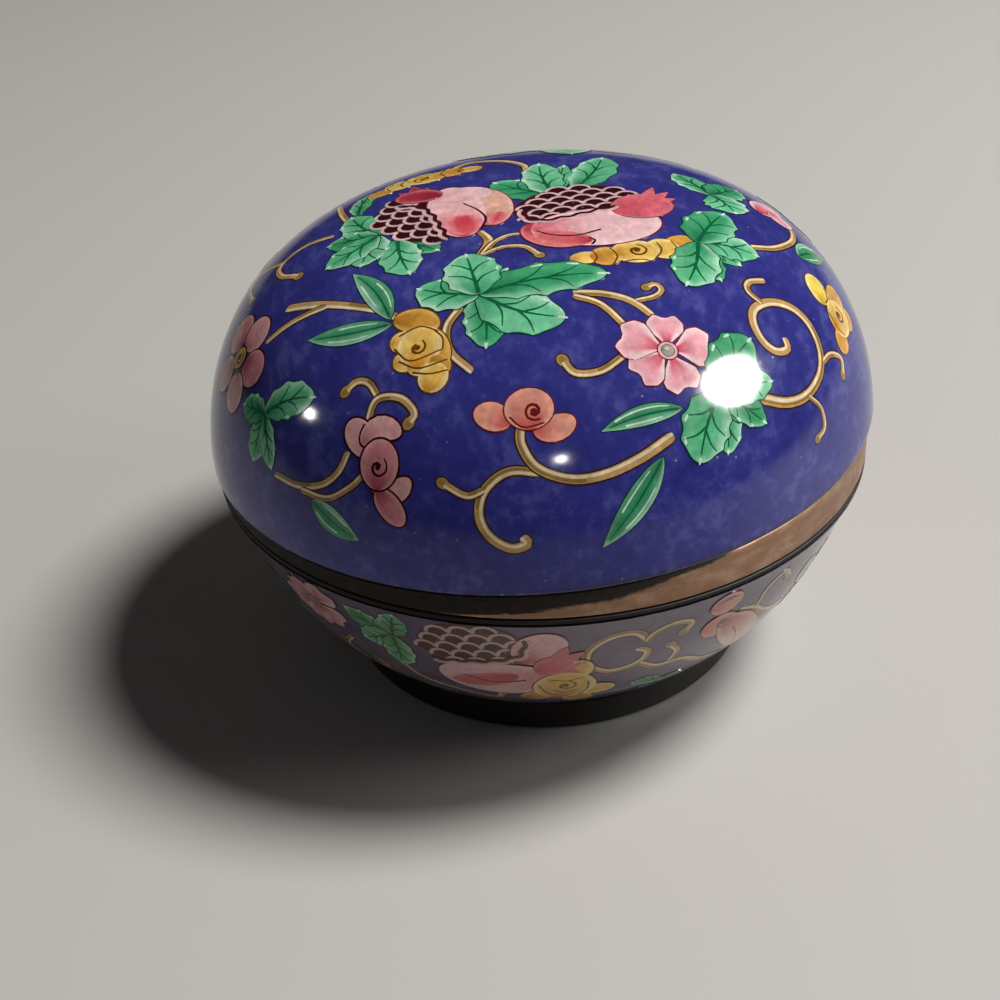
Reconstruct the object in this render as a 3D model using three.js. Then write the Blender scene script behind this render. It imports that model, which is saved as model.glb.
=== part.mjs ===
// A round covered box of painted enamel on copper.
// Millimetres, +Z up. The origin is the centre of the foot's underside.
// The lid is a deep cushion dome on a bare copper rim strip. Its enamelled dome leans a little, so the
// strip is taller on the +X side. The lid rests, edge to edge, on a tapering bowl with a low foot ring.
import * as THREE from 'three';

// ---- driving dimensions -------------------------------------------------------------------------
const LID_RADIUS = 50;          // outside of the enamelled dome at its lower edge
const DOME_HEIGHT = 32;         // crown above the dome's lower edge
const DOME_SIDE_POWER = 3.5;    // how square the dome's shoulder is, in the radius
const DOME_TOP_POWER = 1.85;    // the same, in the height
const DOME_LEAN = THREE.MathUtils.degToRad(2.8);   // the dome's +X side stands higher
const STRIP_HEIGHT = 3.8;       // copper rim strip, halfway between its low and high sides
const SEAM_HEIGHT = 33.6;       // where the lid meets the bowl, above the table
const BOWL_RADIUS = 49.4;       // bowl and copper strip stand back a little from the enamel's edge
const BOWL_BELLY = 2.5;         // how far the bowl's side bows out from a straight taper
const BOWL_HEEL = 5.6;          // moves that fullness down, towards the foot
const FOOT_RADIUS = 32.8;       // outside of the foot ring at its top, and of the bowl's bottom
const FOOT_HEIGHT = 5.5;
const FOOT_TAPER = 0.8;         // the foot ring narrows by this much towards the table
const FOOT_WALL = 2.4;
const EDGE = 0.5;               // small chamfer on the foot ring's lower corners
const WALL = 1.2;               // copper sheet with enamel on both faces
const METAL = 0.8;              // bare copper strip
const LAP = 2.0;                // how far the strip's inner lip reaches up inside the dome
const LAP_EASE = 0.7;           // the lip stands this far in from the leaning sheet
const LEDGE = 0.7;              // thickness of the copper ledge on the bowl's rim
const COLLAR_RISE = 3.4;        // the bowl's collar stands this far up inside the lid
const GAP = 0.3;                // clearance between neighbouring pieces
const SIDES = 80;               // facets round each piece
const DOME_RINGS = 13;          // rings of facets on the dome's outer face
const LINING_RINGS = 10;        // and on its inner face
const BOWL_RINGS = 8;

// ---- heights and radii worked out from them -----------------------------------------------------
const domeBase = SEAM_HEIGHT + GAP + STRIP_HEIGHT + GAP;
const lipRadius = LID_RADIUS - WALL - LAP_EASE;
const stripBore = lipRadius - METAL;
const collarRadius = stripBore - GAP;
const collarBore = collarRadius - METAL;
const bowlTop = SEAM_HEIGHT - LEDGE - GAP;
const bowlBottom = FOOT_HEIGHT + GAP;

const point = (radius, height) => new THREE.Vector2(radius, height);

// A closed outline in (radius, height), listed anticlockwise, turned round the Z axis.
function turned(outline) {
  const geometry = new THREE.LatheGeometry([...outline, outline[0].clone()], SIDES);
  geometry.rotateX(Math.PI / 2);
  return geometry;
}

// A solid of revolution whose outline starts and ends on the axis.
function turnedFromAxis(outline) {
  const geometry = new THREE.LatheGeometry(outline, SIDES);
  geometry.rotateX(Math.PI / 2);
  return geometry;
}

// Quarter of a superellipse, from (radius, 0) at the edge to (0, height) on the axis. The steps are
// even along the shoulder and close up towards neither end.
function domeCurve(radius, height, rings) {
  const points = [];
  for (let i = 0; i <= rings; i += 1) {
    const fromCrown = 1 - i / rings;
    const turn = (Math.PI / 2) * (1 - fromCrown * fromCrown);
    const r = radius * Math.max(Math.cos(turn), 0) ** (2 / DOME_SIDE_POWER);
    const z = height * Math.sin(turn) ** (2 / DOME_TOP_POWER);
    points.push(point(i === rings ? 0 : r, z));
  }
  return points;
}

// The bowl's side from its bottom edge to its rim: a straight taper that bows out, lower down most.
function bowlCurve(bottomRadius, bottomHeight, topRadius, topHeight) {
  const points = [];
  for (let i = 0; i <= BOWL_RINGS; i += 1) {
    const rise = i / BOWL_RINGS;
    const taper = THREE.MathUtils.lerp(bottomRadius, topRadius, rise);
    const bow = rise * (1 - rise) * (4 * BOWL_BELLY + BOWL_HEEL * (1 - 2 * rise));
    points.push(point(taper + bow, THREE.MathUtils.lerp(bottomHeight, topHeight, rise)));
  }
  return points;
}

// Raises the vertices above a level by slope times their x, so that a ring's upper edge leans.
function leanUpperEdge(geometry, level, slope) {
  const position = geometry.getAttribute('position');
  for (let i = 0; i < position.count; i += 1) {
    if (position.getZ(i) > level) {
      position.setZ(i, position.getZ(i) + slope * position.getX(i));
    }
  }
  position.needsUpdate = true;
  return geometry;
}

// ---- finishes -----------------------------------------------------------------------------------
const enamel = () => new THREE.MeshStandardMaterial({ color: 0x34348c, roughness: 0.2, metalness: 0 });
const copper = () => new THREE.MeshStandardMaterial({ color: 0x83583a, roughness: 0.45, metalness: 1 });
const darkCopper = () => new THREE.MeshStandardMaterial({ color: 0x35271e, roughness: 0.55, metalness: 1 });

// ---- pieces -------------------------------------------------------------------------------------
// The hollow enamelled dome, drawn round its own base centre and then leaned about it.
function lidDome() {
  const outside = domeCurve(LID_RADIUS, DOME_HEIGHT, DOME_RINGS);
  const inside = domeCurve(LID_RADIUS - WALL, DOME_HEIGHT - WALL, LINING_RINGS).reverse();
  const mesh = new THREE.Mesh(turnedFromAxis([...inside, ...outside]), enamel());
  mesh.name = 'lid_dome';
  mesh.position.z = domeBase;
  mesh.rotation.y = -DOME_LEAN;
  return mesh;
}

// The bare copper strip under the dome. Its inner lip laps up inside the enamelled sheet.
function lidRimStrip() {
  const low = SEAM_HEIGHT + GAP;
  const high = low + STRIP_HEIGHT;
  const outline = [
    point(stripBore, low),
    point(BOWL_RADIUS, low),
    point(BOWL_RADIUS, high),
    point(lipRadius, high),
    point(lipRadius, high + LAP),
    point(stripBore, high + LAP),
  ];
  const geometry = leanUpperEdge(turned(outline), low + STRIP_HEIGHT / 2, Math.tan(DOME_LEAN));
  const mesh = new THREE.Mesh(geometry, copper());
  mesh.name = 'lid_rim_strip';
  return mesh;
}

// The hollow enamelled bowl with its flat floor.
function bowl() {
  const outside = bowlCurve(FOOT_RADIUS, bowlBottom, BOWL_RADIUS, bowlTop);
  const inside = bowlCurve(FOOT_RADIUS - WALL, bowlBottom + WALL, BOWL_RADIUS - WALL, bowlTop).reverse();
  const outline = [point(0, bowlBottom), ...outside, ...inside, point(0, bowlBottom + WALL)];
  const mesh = new THREE.Mesh(turnedFromAxis(outline), enamel());
  mesh.name = 'bowl';
  return mesh;
}

// The copper ledge that binds the bowl's rim, with the collar that keeps the lid in place.
function bowlRimCollar() {
  const low = SEAM_HEIGHT - LEDGE;
  const outline = [
    point(collarBore, low),
    point(BOWL_RADIUS, low),
    point(BOWL_RADIUS, SEAM_HEIGHT),
    point(collarRadius, SEAM_HEIGHT),
    point(collarRadius, SEAM_HEIGHT + COLLAR_RISE),
    point(collarBore, SEAM_HEIGHT + COLLAR_RISE),
  ];
  const mesh = new THREE.Mesh(turned(outline), copper());
  mesh.name = 'bowl_rim_collar';
  return mesh;
}

// The low foot ring, with its lower corners eased.
function footRing() {
  const outer = FOOT_RADIUS - FOOT_TAPER;
  const inner = FOOT_RADIUS - FOOT_WALL;
  const outline = [
    point(inner - FOOT_TAPER + EDGE, 0),
    point(outer - EDGE, 0),
    point(outer, EDGE),
    point(FOOT_RADIUS, FOOT_HEIGHT),
    point(inner, FOOT_HEIGHT),
    point(inner - FOOT_TAPER, EDGE),
  ];
  const mesh = new THREE.Mesh(turned(outline), darkCopper());
  mesh.name = 'foot_ring';
  return mesh;
}

const box = new THREE.Group();
box.add(footRing(), bowl(), bowlRimCollar(), lidRimStrip(), lidDome());

export default box;
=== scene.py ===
"""A round covered box of painted enamel on copper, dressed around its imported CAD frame.

The solids are metal and sheet: foot ring, bowl, rim collar, rim strip and lid. This script gives each one
its finished surface, and lays the painted flowers, fruit, leaves and scrolls on the lid and the bowl as
thin fired films that follow the curved ground.

Every drawing is made on a flat plan in millimetres and carried onto the curved surface without changing
its angles, as a painter would fit a pattern to a dome. On the lid's plan the crown is the origin, +x is
the box's +X side and -y is its front. On the bowl's plan x runs round the wall from its front towards
+X, and y runs down from the rim.
"""

from __future__ import annotations

import logging
import math
from dataclasses import dataclass, replace
from enum import Enum
from typing import Mapping, Sequence

import bpy
import numpy as np
from mathutils import Matrix, Vector

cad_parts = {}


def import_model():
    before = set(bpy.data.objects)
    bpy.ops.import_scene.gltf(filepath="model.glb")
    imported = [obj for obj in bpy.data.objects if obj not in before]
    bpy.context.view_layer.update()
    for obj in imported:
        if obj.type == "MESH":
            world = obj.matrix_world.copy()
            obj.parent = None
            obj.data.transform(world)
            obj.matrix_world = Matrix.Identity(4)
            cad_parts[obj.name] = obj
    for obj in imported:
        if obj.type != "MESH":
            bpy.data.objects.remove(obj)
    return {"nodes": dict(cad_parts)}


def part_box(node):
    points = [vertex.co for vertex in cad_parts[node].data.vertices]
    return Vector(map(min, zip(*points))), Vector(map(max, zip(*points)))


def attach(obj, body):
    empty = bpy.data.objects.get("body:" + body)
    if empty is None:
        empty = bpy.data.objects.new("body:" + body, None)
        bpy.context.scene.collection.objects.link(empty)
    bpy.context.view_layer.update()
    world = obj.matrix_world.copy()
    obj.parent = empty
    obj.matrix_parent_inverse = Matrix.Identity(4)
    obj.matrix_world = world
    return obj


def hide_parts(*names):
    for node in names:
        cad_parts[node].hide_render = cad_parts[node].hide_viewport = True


Array = np.ndarray
Colour = tuple[float, float, float]

MM = 0.001
PAINT = "paint"
# How much metal shows. On the rim strip this is also painted light and shade.
BARE_AND_LIT = "bare_and_lit"

# The same driving values as the solids have, in millimetres. The rest is read from the frame.
DOME_HEIGHT = 32.0
DOME_SIDE_POWER = 3.5
DOME_TOP_POWER = 1.85
DOME_LEAN = 2.8
STRIP_HEIGHT = 3.8
BOWL_BELLY = 2.5
BOWL_HEEL = 5.6
FOOT_TAPER = 0.8
FOOT_WALL = 2.4
EDGE = 0.5
WALL = 1.2
METAL = 0.8
LAP = 2.0
LAP_EASE = 0.7
GAP = 0.3

log = logging.getLogger("enamel_box")


class Slot(Enum):
    """The record's material slots."""

    LID_ENAMEL = "lid_enamel"
    RIM_COPPER = "rim_copper"
    BOWL_ENAMEL = "bowl_enamel"
    COLLAR_COPPER = "collar_copper"
    FOOT_COPPER = "foot_copper"


# ---- shader helpers -----------------------------------------------------------------------------
class Wire:
    """A shader socket. Arithmetic on it adds Math nodes to its graph."""

    def __init__(self, graph: "Graph", socket: bpy.types.NodeSocket) -> None:
        """Keeps the socket and the graph that it belongs to."""
        self.graph = graph
        self.socket = socket

    def _maths(self, operation: str, first: "Wire | float", second: "Wire | float") -> "Wire":
        """A Math node of two numbers."""
        return self.graph.add("ShaderNodeMath", {"operation": operation}, {0: first, 1: second})

    def __add__(self, other: "Wire | float") -> "Wire":
        """self + other."""
        return self._maths("ADD", self, other)

    def __radd__(self, other: float) -> "Wire":
        """other + self."""
        return self._maths("ADD", other, self)

    def __sub__(self, other: "Wire | float") -> "Wire":
        """self - other."""
        return self._maths("SUBTRACT", self, other)

    def __rsub__(self, other: float) -> "Wire":
        """other - self."""
        return self._maths("SUBTRACT", other, self)

    def __mul__(self, other: "Wire | float") -> "Wire":
        """self * other."""
        return self._maths("MULTIPLY", self, other)

    def __rmul__(self, other: float) -> "Wire":
        """other * self."""
        return self._maths("MULTIPLY", other, self)

    def ramp(self, low: float, high: float) -> "Wire":
        """0 up to low and 1 from high on, or the other way round where low is above high, eased between."""
        settings = {"interpolation_type": "SMOOTHSTEP"}
        return self.graph.add(
            "ShaderNodeMapRange", settings, {"Value": self, "From Min": low, "From Max": high}
        )


class Graph:
    """The node graph of one material."""

    def __init__(self, name: str) -> None:
        """Makes an empty material of that name."""
        self.material = bpy.data.materials.new(name)
        self.material.use_nodes = True
        self.tree = self.material.node_tree
        self.tree.nodes.clear()

    def add(
        self,
        kind: str,
        settings: Mapping[str, object] | None = None,
        inputs: Mapping[str | int, object] | None = None,
        output: str | int = 0,
    ) -> Wire:
        """Adds one node.

        Args:
            kind: The node's type.
            settings: Its own settings, set before its sockets.
            inputs: A value, or the Wire to link, for each socket named or numbered.
            output: The output socket that is wanted.

        Returns:
            That output.
        """
        node = self.tree.nodes.new(kind)
        for name, value in (settings or {}).items():
            setattr(node, name, value)
        for name, value in (inputs or {}).items():
            socket = node.inputs[name]
            if isinstance(value, Wire):
                self.tree.links.new(value.socket, socket)
            else:
                socket.default_value = value
        return Wire(self, node.outputs[output])

    def place(self) -> Wire:
        """The point's own place on the object, in metres."""
        return self.add("ShaderNodeTexCoord", output="Object")

    def noise(
        self, size_mm: float, detail: float = 3.0, rough: float = 0.55, stretch: Sequence[float] = (1, 1, 1)
    ) -> Wire:
        """Soft cloudy noise from 0 to 1.

        Args:
            size_mm: The width of one cloud.
            detail: How many finer layers it has.
            rough: How strong those layers are.
            stretch: How much wider the clouds are along each axis.

        Returns:
            The noise's value.
        """
        scale = [1.0 / (size_mm * MM * s) for s in stretch]
        at = self.add("ShaderNodeMapping", None, {"Vector": self.place(), "Scale": scale})
        return self.add(
            "ShaderNodeTexNoise", None, {"Vector": at, "Scale": 1.0, "Detail": detail, "Roughness": rough}
        )

    def specks(self, size_mm: float) -> Wire:
        """Distance from the nearest of many scattered points, about 1 from one to the next."""
        at = self.add(
            "ShaderNodeMapping", None, {"Vector": self.place(), "Scale": [1.0 / (size_mm * MM)] * 3}
        )
        return self.add("ShaderNodeTexVoronoi", None, {"Vector": at, "Scale": 1.0})

    def mix(self, share: Wire | float, first: Wire | Colour, second: Wire | Colour, how: str = "MIX") -> Wire:
        """One colour over another by a share from 0 to 1."""
        colours = [c if isinstance(c, Wire) else (*c, 1.0) for c in (first, second)]
        settings = {"data_type": "RGBA", "blend_type": how, "clamp_factor": True}
        return self.add("ShaderNodeMix", settings, {0: share, 6: colours[0], 7: colours[1]}, output=2)

    def bump(self, height: Wire, depth_mm: float, strength: float = 1.0) -> Wire:
        """The surface normal, moved as a relief of that depth would move it."""
        return self.add(
            "ShaderNodeBump", None, {"Height": height, "Distance": depth_mm * MM, "Strength": strength}
        )

    def finish(self, shader: Wire) -> bpy.types.Material:
        """Links the shader to the output and returns the material."""
        self.add_output(shader)
        return self.material

    def add_output(self, shader: Wire) -> None:
        """Adds the material's output node, fed by the shader."""
        node = self.tree.nodes.new("ShaderNodeOutputMaterial")
        self.tree.links.new(shader.socket, node.inputs["Surface"])


# ---- finishes -----------------------------------------------------------------------------------
@dataclass(frozen=True)
class Enamel:
    """Glassy fired enamel whose colour is the surface's own paint attribute, clouded as it was laid on.

    Two sizes of cloud lighten or darken the paint. Small pits show as pale or dark specks and dent the
    surface, which also has the slight waviness of glass that has run. A brownish film of painted reflection
    and painted shade may lie over it all, thicker where the wide cloud is light.
    """

    name: str
    cloud: Colour
    cloud_share: float
    dusk: Colour
    dusk_share: float
    cloud_mm: float = 7.0
    streak_mm: float = 1.6
    pit: Colour = (0.42, 0.44, 0.55)
    pit_share: float = 0.35
    pit_mm: float = 1.9
    roughness: float = 0.07
    wave_mm: float = 0.012
    laid: str = "MIX"
    # The colour of a brownish painted reflection and painted shade, and how much of it lies over the paint.
    film: Colour = (0.0, 0.0, 0.0)
    reflection_share: float = 0.0

    def material(self) -> bpy.types.Material:
        """Makes the material."""
        graph = Graph(self.name)
        paint = graph.add("ShaderNodeAttribute", {"attribute_name": PAINT}, output="Color")
        wide = graph.noise(self.cloud_mm, 4.0, 0.6)
        fine = graph.noise(self.streak_mm, 3.0, 0.6, (1.0, 2.2, 1.0))
        light = (wide * 0.55 + fine * 0.45).ramp(0.48, 0.66)
        dark = (wide * 0.7 + fine * 0.3).ramp(0.5, 0.3)
        colour = graph.mix(light * self.cloud_share, paint, self.cloud, self.laid)
        colour = graph.mix(dark * self.dusk_share, colour, self.dusk, self.laid)
        nearest = graph.specks(self.pit_mm)
        scarce = graph.noise(self.pit_mm * 2.3, 1.0).ramp(0.56, 0.62)
        pit = nearest.ramp(0.13, 0.05) * scarce
        colour = graph.mix(pit * self.pit_share, colour, self.pit)
        # Painted reflection and painted shade: a brownish film over the colour, thicker where the wide cloud
        # is light.
        if self.reflection_share:
            colour = graph.mix(self.reflection_share + (wide - 0.5) * 0.6, colour, self.film)
        relief = fine * 0.35 + graph.noise(4.5, 1.0) * 0.65 - pit * 0.8
        shader = graph.add(
            "ShaderNodeBsdfPrincipled",
            None,
            {
                "Base Color": colour,
                "Roughness": self.roughness + fine * 0.08 + pit * 0.3,
                "IOR": 1.36,
                "Normal": graph.bump(relief, self.wave_mm),
            },
        )
        return graph.finish(shader)


@dataclass(frozen=True)
class Copper:
    """Old copper: bare metal where it is handled and a dull brown to black skin elsewhere.

    The surface's own bare_and_lit attribute says how much metal shows, from 0 to 1, and noise breaks its
    edge.
    On the rim strip that share also holds painted light and shade.
    """

    name: str
    metal: Colour
    rubbed: Colour
    skin: Colour
    grime_and_reflection: Colour
    break_up: float = 0.5

    def material(self) -> bpy.types.Material:
        """Makes the material."""
        graph = Graph(self.name)
        bare_and_lit = graph.add("ShaderNodeAttribute", {"attribute_name": BARE_AND_LIT}, output="Fac")
        blotch = graph.noise(2.6, 4.0, 0.65, (1.6, 1.6, 0.8))
        grain = graph.noise(0.45, 2.0, 0.6, (2.5, 2.5, 0.7))
        shows = (bare_and_lit + (blotch - 0.5) * self.break_up + (grain - 0.5) * 0.3).ramp(0.38, 0.62)
        metal = graph.mix(blotch.ramp(0.4, 0.7), self.metal, self.rubbed)
        skin = graph.mix(grain.ramp(0.35, 0.7), self.grime_and_reflection, self.skin)
        relief = grain * 0.5 + blotch * 0.5 + shows * 0.2
        shader = graph.add(
            "ShaderNodeBsdfPrincipled",
            None,
            {
                "Base Color": graph.mix(shows, skin, metal),
                "Metallic": shows * 0.75,
                "Roughness": 0.62 - shows * 0.2 + (grain - 0.5) * 0.2,
                "IOR": 1.25,
                "Normal": graph.bump(relief, 0.03),
            },
        )
        return graph.finish(shader)


@dataclass(frozen=True)
class Board:
    """The pale matt board that the box stands on."""

    name: str = "pale_board"
    colour: Colour = (0.60, 0.59, 0.57)

    def material(self) -> bpy.types.Material:
        """Makes the material."""
        graph = Graph(self.name)
        cloud = graph.noise(60.0, 2.0)
        colour = graph.mix(cloud * 0.06, self.colour, (0.53, 0.52, 0.50))
        shader = graph.add("ShaderNodeBsdfPrincipled", None, {"Base Color": colour, "Roughness": 0.7})
        return graph.finish(shader)


# ---- meshes -------------------------------------------------------------------------------------
def new_piece(
    name: str,
    points: Array,
    faces: Sequence[Sequence[int]],
    material: bpy.types.Material,
    colours: Mapping[str, Array],
    crease: float = 40.0,
) -> bpy.types.Object:
    """Makes an object from points and faces that already stand where they belong.

    Args:
        name: The object's name.
        points: Every point, in millimetres.
        faces: The point numbers of each face, anticlockwise from outside.
        material: Its finish.
        colours: For each attribute name, one colour or one number for every point.
        crease: Edges that turn by more than this many degrees stay sharp.

    Returns:
        The object, smooth shaded between its creases.
    """
    mesh = bpy.data.meshes.new(name)
    mesh.from_pydata((points * MM).tolist(), [], faces)
    for attribute, values in colours.items():
        if values.ndim == 1:
            layer = mesh.attributes.new(attribute, "FLOAT", "POINT")
            layer.data.foreach_set("value", values.astype(np.float32))
        else:
            layer = mesh.attributes.new(attribute, "FLOAT_COLOR", "POINT")
            rgba = np.column_stack([values, np.ones(len(values))])
            layer.data.foreach_set("color", rgba.astype(np.float32).ravel())
    mesh.polygons.foreach_set("use_smooth", np.ones(len(mesh.polygons), bool))
    mesh.set_sharp_from_angle(angle=math.radians(crease))
    mesh.materials.append(material)
    mesh.validate()
    made = bpy.data.objects.new(name, mesh)
    bpy.context.scene.collection.objects.link(made)
    return made


@dataclass(frozen=True)
class Lean:
    """A tilt about the Y axis through a point on the Z axis, which raises the +X side."""

    degrees: float
    height: float

    def put(self, points: Array) -> Array:
        """Turns points drawn from height 0 by the tilt, and lifts them to the axis's height."""
        turn = math.radians(self.degrees)
        x = points[..., 0] * math.cos(turn) - points[..., 2] * math.sin(turn)
        z = points[..., 0] * math.sin(turn) + points[..., 2] * math.cos(turn) + self.height
        return np.stack([x, points[..., 1], z], axis=-1)


def lathe_points(radius: Array, height: Array, sectors: int) -> Array:
    """A profile turned round the Z axis: one row of points for each step of the profile, one column for
    each sector, at x = radius times cosine and y = radius times sine of the bearing."""
    bearing = np.linspace(0, 2 * math.pi, sectors, endpoint=False)
    ones = np.ones(sectors)
    return np.stack(
        [np.outer(radius, np.cos(bearing)), np.outer(radius, np.sin(bearing)), np.outer(height, ones)], -1
    )


def band_faces(rows: int, sectors: int, first: int = 0) -> Array:
    """Four-sided faces between neighbouring rows of a turned profile that is listed downwards outside."""
    row, column = np.meshgrid(np.arange(rows - 1), np.arange(sectors), indexing="ij")
    following = (column + 1) % sectors
    a = first + row * sectors
    return np.stack(
        [a + column, a + sectors + column, a + sectors + following, a + following], -1
    ).reshape(-1, 4)


def fan_faces(centre: int, row_start: int, sectors: int, up: bool) -> Array:
    """Triangles from a centre point to a row of points, facing up or down the Z axis."""
    column = np.arange(sectors)
    following = (column + 1) % sectors
    order = (column, following) if up else (following, column)
    return np.stack([np.full(sectors, centre), row_start + order[0], row_start + order[1]], -1)


@dataclass
class Turning:
    """A solid turned about the Z axis from one closed outline.

    The outline runs anticlockwise as seen with the radius to the right and the height up, reversed: that
    is from the top outside edge down the outside, across the bottom, and up the inside. Points on the
    axis are poles, where the faces close in a fan.
    """

    radius: Array
    height: Array
    sectors: int = 288

    def per_point(self, per_step: Array) -> Array:
        """A value for each step of the outline, repeated for each of the points that build gives."""
        on_axis = self.radius < 1e-9
        rings = np.repeat(per_step[~on_axis], self.sectors)
        return np.concatenate([rings, per_step[on_axis]])

    def build(self) -> tuple[Array, list[list[int]]]:
        """Works out the points in millimetres and the faces, pointing outwards."""
        on_axis = self.radius < 1e-9
        starts_on_axis, ends_on_axis = bool(on_axis[0]), bool(on_axis[-1])
        keep = slice(1 if starts_on_axis else 0, -1 if ends_on_axis else None)
        ring = lathe_points(self.radius[keep], self.height[keep], self.sectors)
        rows = len(ring)
        points = ring.reshape(-1, 3)
        faces = band_faces(rows, self.sectors).tolist()
        if starts_on_axis and ends_on_axis:
            poles = np.array([[0, 0, self.height[0]], [0, 0, self.height[-1]]])
            points = np.concatenate([points, poles])
            faces += fan_faces(len(points) - 2, 0, self.sectors, up=True).tolist()
            last = (rows - 1) * self.sectors
            faces += fan_faces(len(points) - 1, last, self.sectors, up=False).tolist()
        else:
            column = np.arange(self.sectors)
            following = (column + 1) % self.sectors
            last = (rows - 1) * self.sectors
            faces += np.stack([last + column, column, following, last + following], -1).tolist()
        return points, faces


def dome_profile(radius: float, height: float, steps: int) -> tuple[Array, Array]:
    """A cushion dome from its crown down to its edge: radius times the cosine of a turn to the power 2/3.5,
    against height times its sine to the power 2/1.85. The turn slows towards the crown."""
    share = np.linspace(0, 1, steps + 1)
    turn = math.pi / 2 * (1 - share**2)
    r = radius * np.maximum(np.cos(turn), 0) ** (2 / DOME_SIDE_POWER)
    z = height * np.sin(turn) ** (2 / DOME_TOP_POWER)
    r[0] = 0.0
    return r, z


def bowl_profile(bottom: tuple[float, float], top: tuple[float, float], steps: int) -> tuple[Array, Array]:
    """A bowl's side from its rim down: a straight taper plus rise x (1 - rise) x (4 x belly + heel x
    (1 - 2 x rise)), which bows it out, lower down most."""
    rise = np.linspace(1, 0, steps + 1)
    bow = rise * (1 - rise) * (4 * BOWL_BELLY + BOWL_HEEL * (1 - 2 * rise))
    return bottom[0] + (top[0] - bottom[0]) * rise + bow, bottom[1] + (top[1] - bottom[1]) * rise


@dataclass(frozen=True)
class Sizes:
    """The box's own measures in millimetres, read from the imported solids."""

    lid_radius: float
    rim_radius: float
    seam: float
    strip_low: float
    collar_low: float
    collar_top: float
    bowl_top: float
    bowl_bottom: float
    foot_radius: float
    foot_height: float

    @staticmethod
    def from_frame() -> "Sizes":
        """Reads them from the boxes of the CAD nodes."""
        dome, strip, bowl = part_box("lid_dome"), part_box("lid_rim_strip"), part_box("bowl")
        collar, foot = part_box("bowl_rim_collar"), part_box("foot_ring")
        return Sizes(
            lid_radius=dome[1].y / MM,
            rim_radius=strip[1].x / MM,
            seam=strip[0].z / MM - GAP,
            strip_low=strip[0].z / MM,
            collar_low=collar[0].z / MM,
            collar_top=collar[1].z / MM,
            bowl_top=bowl[1].z / MM,
            bowl_bottom=bowl[0].z / MM,
            foot_radius=foot[1].x / MM,
            foot_height=foot[1].z / MM,
        )

    @property
    def strip_high(self) -> float:
        """The strip's upper edge, halfway between its low and high sides."""
        return self.strip_low + STRIP_HEIGHT

    @property
    def lip_radius(self) -> float:
        """The outside of the strip's inner lip."""
        return self.lid_radius - WALL - LAP_EASE

    @property
    def strip_bore(self) -> float:
        """The strip's inside."""
        return self.lip_radius - METAL

    @property
    def dome_lean(self) -> Lean:
        """The dome's tilt about its own base centre."""
        return Lean(DOME_LEAN, self.strip_high + GAP)


# ---- the finished surfaces of the solids ---------------------------------------------------------
def smooth(low: float, high: float, value: Array) -> Array:
    """0 up to low and 1 from high on, eased between by 3t^2 - 2t^3. It falls where low is above high."""
    t = np.clip((value - low) / (high - low), 0, 1)
    return t * t * (3 - 2 * t)


def half_round(outer: float, inner: float, low: float, steps: int = 6) -> tuple[Array, Array]:
    """A half circle that joins an outer and an inner wall at their lower edge, from the outer wall to the
    inner one, with both ends: middle plus radius times cosine, against low plus radius less its sine."""
    turn = np.linspace(0, math.pi, steps + 1)
    middle, radius = (outer + inner) / 2, (outer - inner) / 2
    return middle + radius * np.cos(turn), low + radius * (1 - np.sin(turn))


def eased(corners: Sequence[tuple[float, float]], ease: float) -> tuple[Array, Array]:
    """A closed outline whose corners are cut back by a small chamfer: each corner gives two points, ease
    before it and ease after it along its two sides."""
    at = np.array(corners, float)
    before, after = np.roll(at, 1, axis=0) - at, np.roll(at, -1, axis=0) - at
    before /= np.linalg.norm(before, axis=1)[:, None]
    after /= np.linalg.norm(after, axis=1)[:, None]
    cut = np.stack([at + before * ease, at + after * ease], axis=1).reshape(-1, 2)
    return cut[:, 0], cut[:, 1]


@dataclass
class LidDome:
    """The hollow enamelled dome of the lid: blue ground outside, a pale counter-enamel inside, and painted
    shade at its lowest edge.
    """

    sizes: Sizes
    outer_steps: int = 130
    inner_steps: int = 60
    sectors: int = 360
    ground: Colour = (0.036, 0.038, 0.265)
    lining: Colour = (0.30, 0.55, 0.56)
    # Painted shade: near black over the dome's lowest edge, where it meets the rim strip.
    edge_shade: Colour = (0.012, 0.009, 0.012)
    edge_shade_height: float = 1.1

    def profile(self) -> tuple[Array, Array]:
        """The outer face from the crown down, a rounded edge, and the inner face up to its own crown."""
        radius = self.sizes.lid_radius
        outer = dome_profile(radius, DOME_HEIGHT, self.outer_steps)
        inner = dome_profile(radius - WALL, DOME_HEIGHT - WALL, self.inner_steps)
        edge = half_round(radius, radius - WALL, 0.0)
        keep_outer, keep_inner = outer[1] > WALL / 2 + 0.05, inner[1] > WALL / 2 + 0.05
        r = np.concatenate([outer[0][keep_outer], edge[0], inner[0][keep_inner][::-1]])
        z = np.concatenate([outer[1][keep_outer], edge[1], inner[1][keep_inner][::-1]])
        return r, z

    def build(self, material: bpy.types.Material) -> bpy.types.Object:
        """Makes the dome's object."""
        r, z = self.profile()
        turning = Turning(r, z, self.sectors)
        points, faces = turning.build()
        outside = turning.per_point(np.arange(len(r)) < int(np.argmin(z)) + 1)
        colour = np.where(outside[:, None], self.ground, self.lining)
        # Painted shade: the colour fades to near black towards the bottom of the rounded edge.
        edge_shade = smooth(self.edge_shade_height, 0.2, points[:, 2])[:, None]
        colour = colour * (1 - edge_shade) + np.array(self.edge_shade) * edge_shade
        placed = self.sizes.dome_lean.put(points)
        return new_piece("lid_dome_enamel", placed, faces, material, {PAINT: colour})


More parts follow.
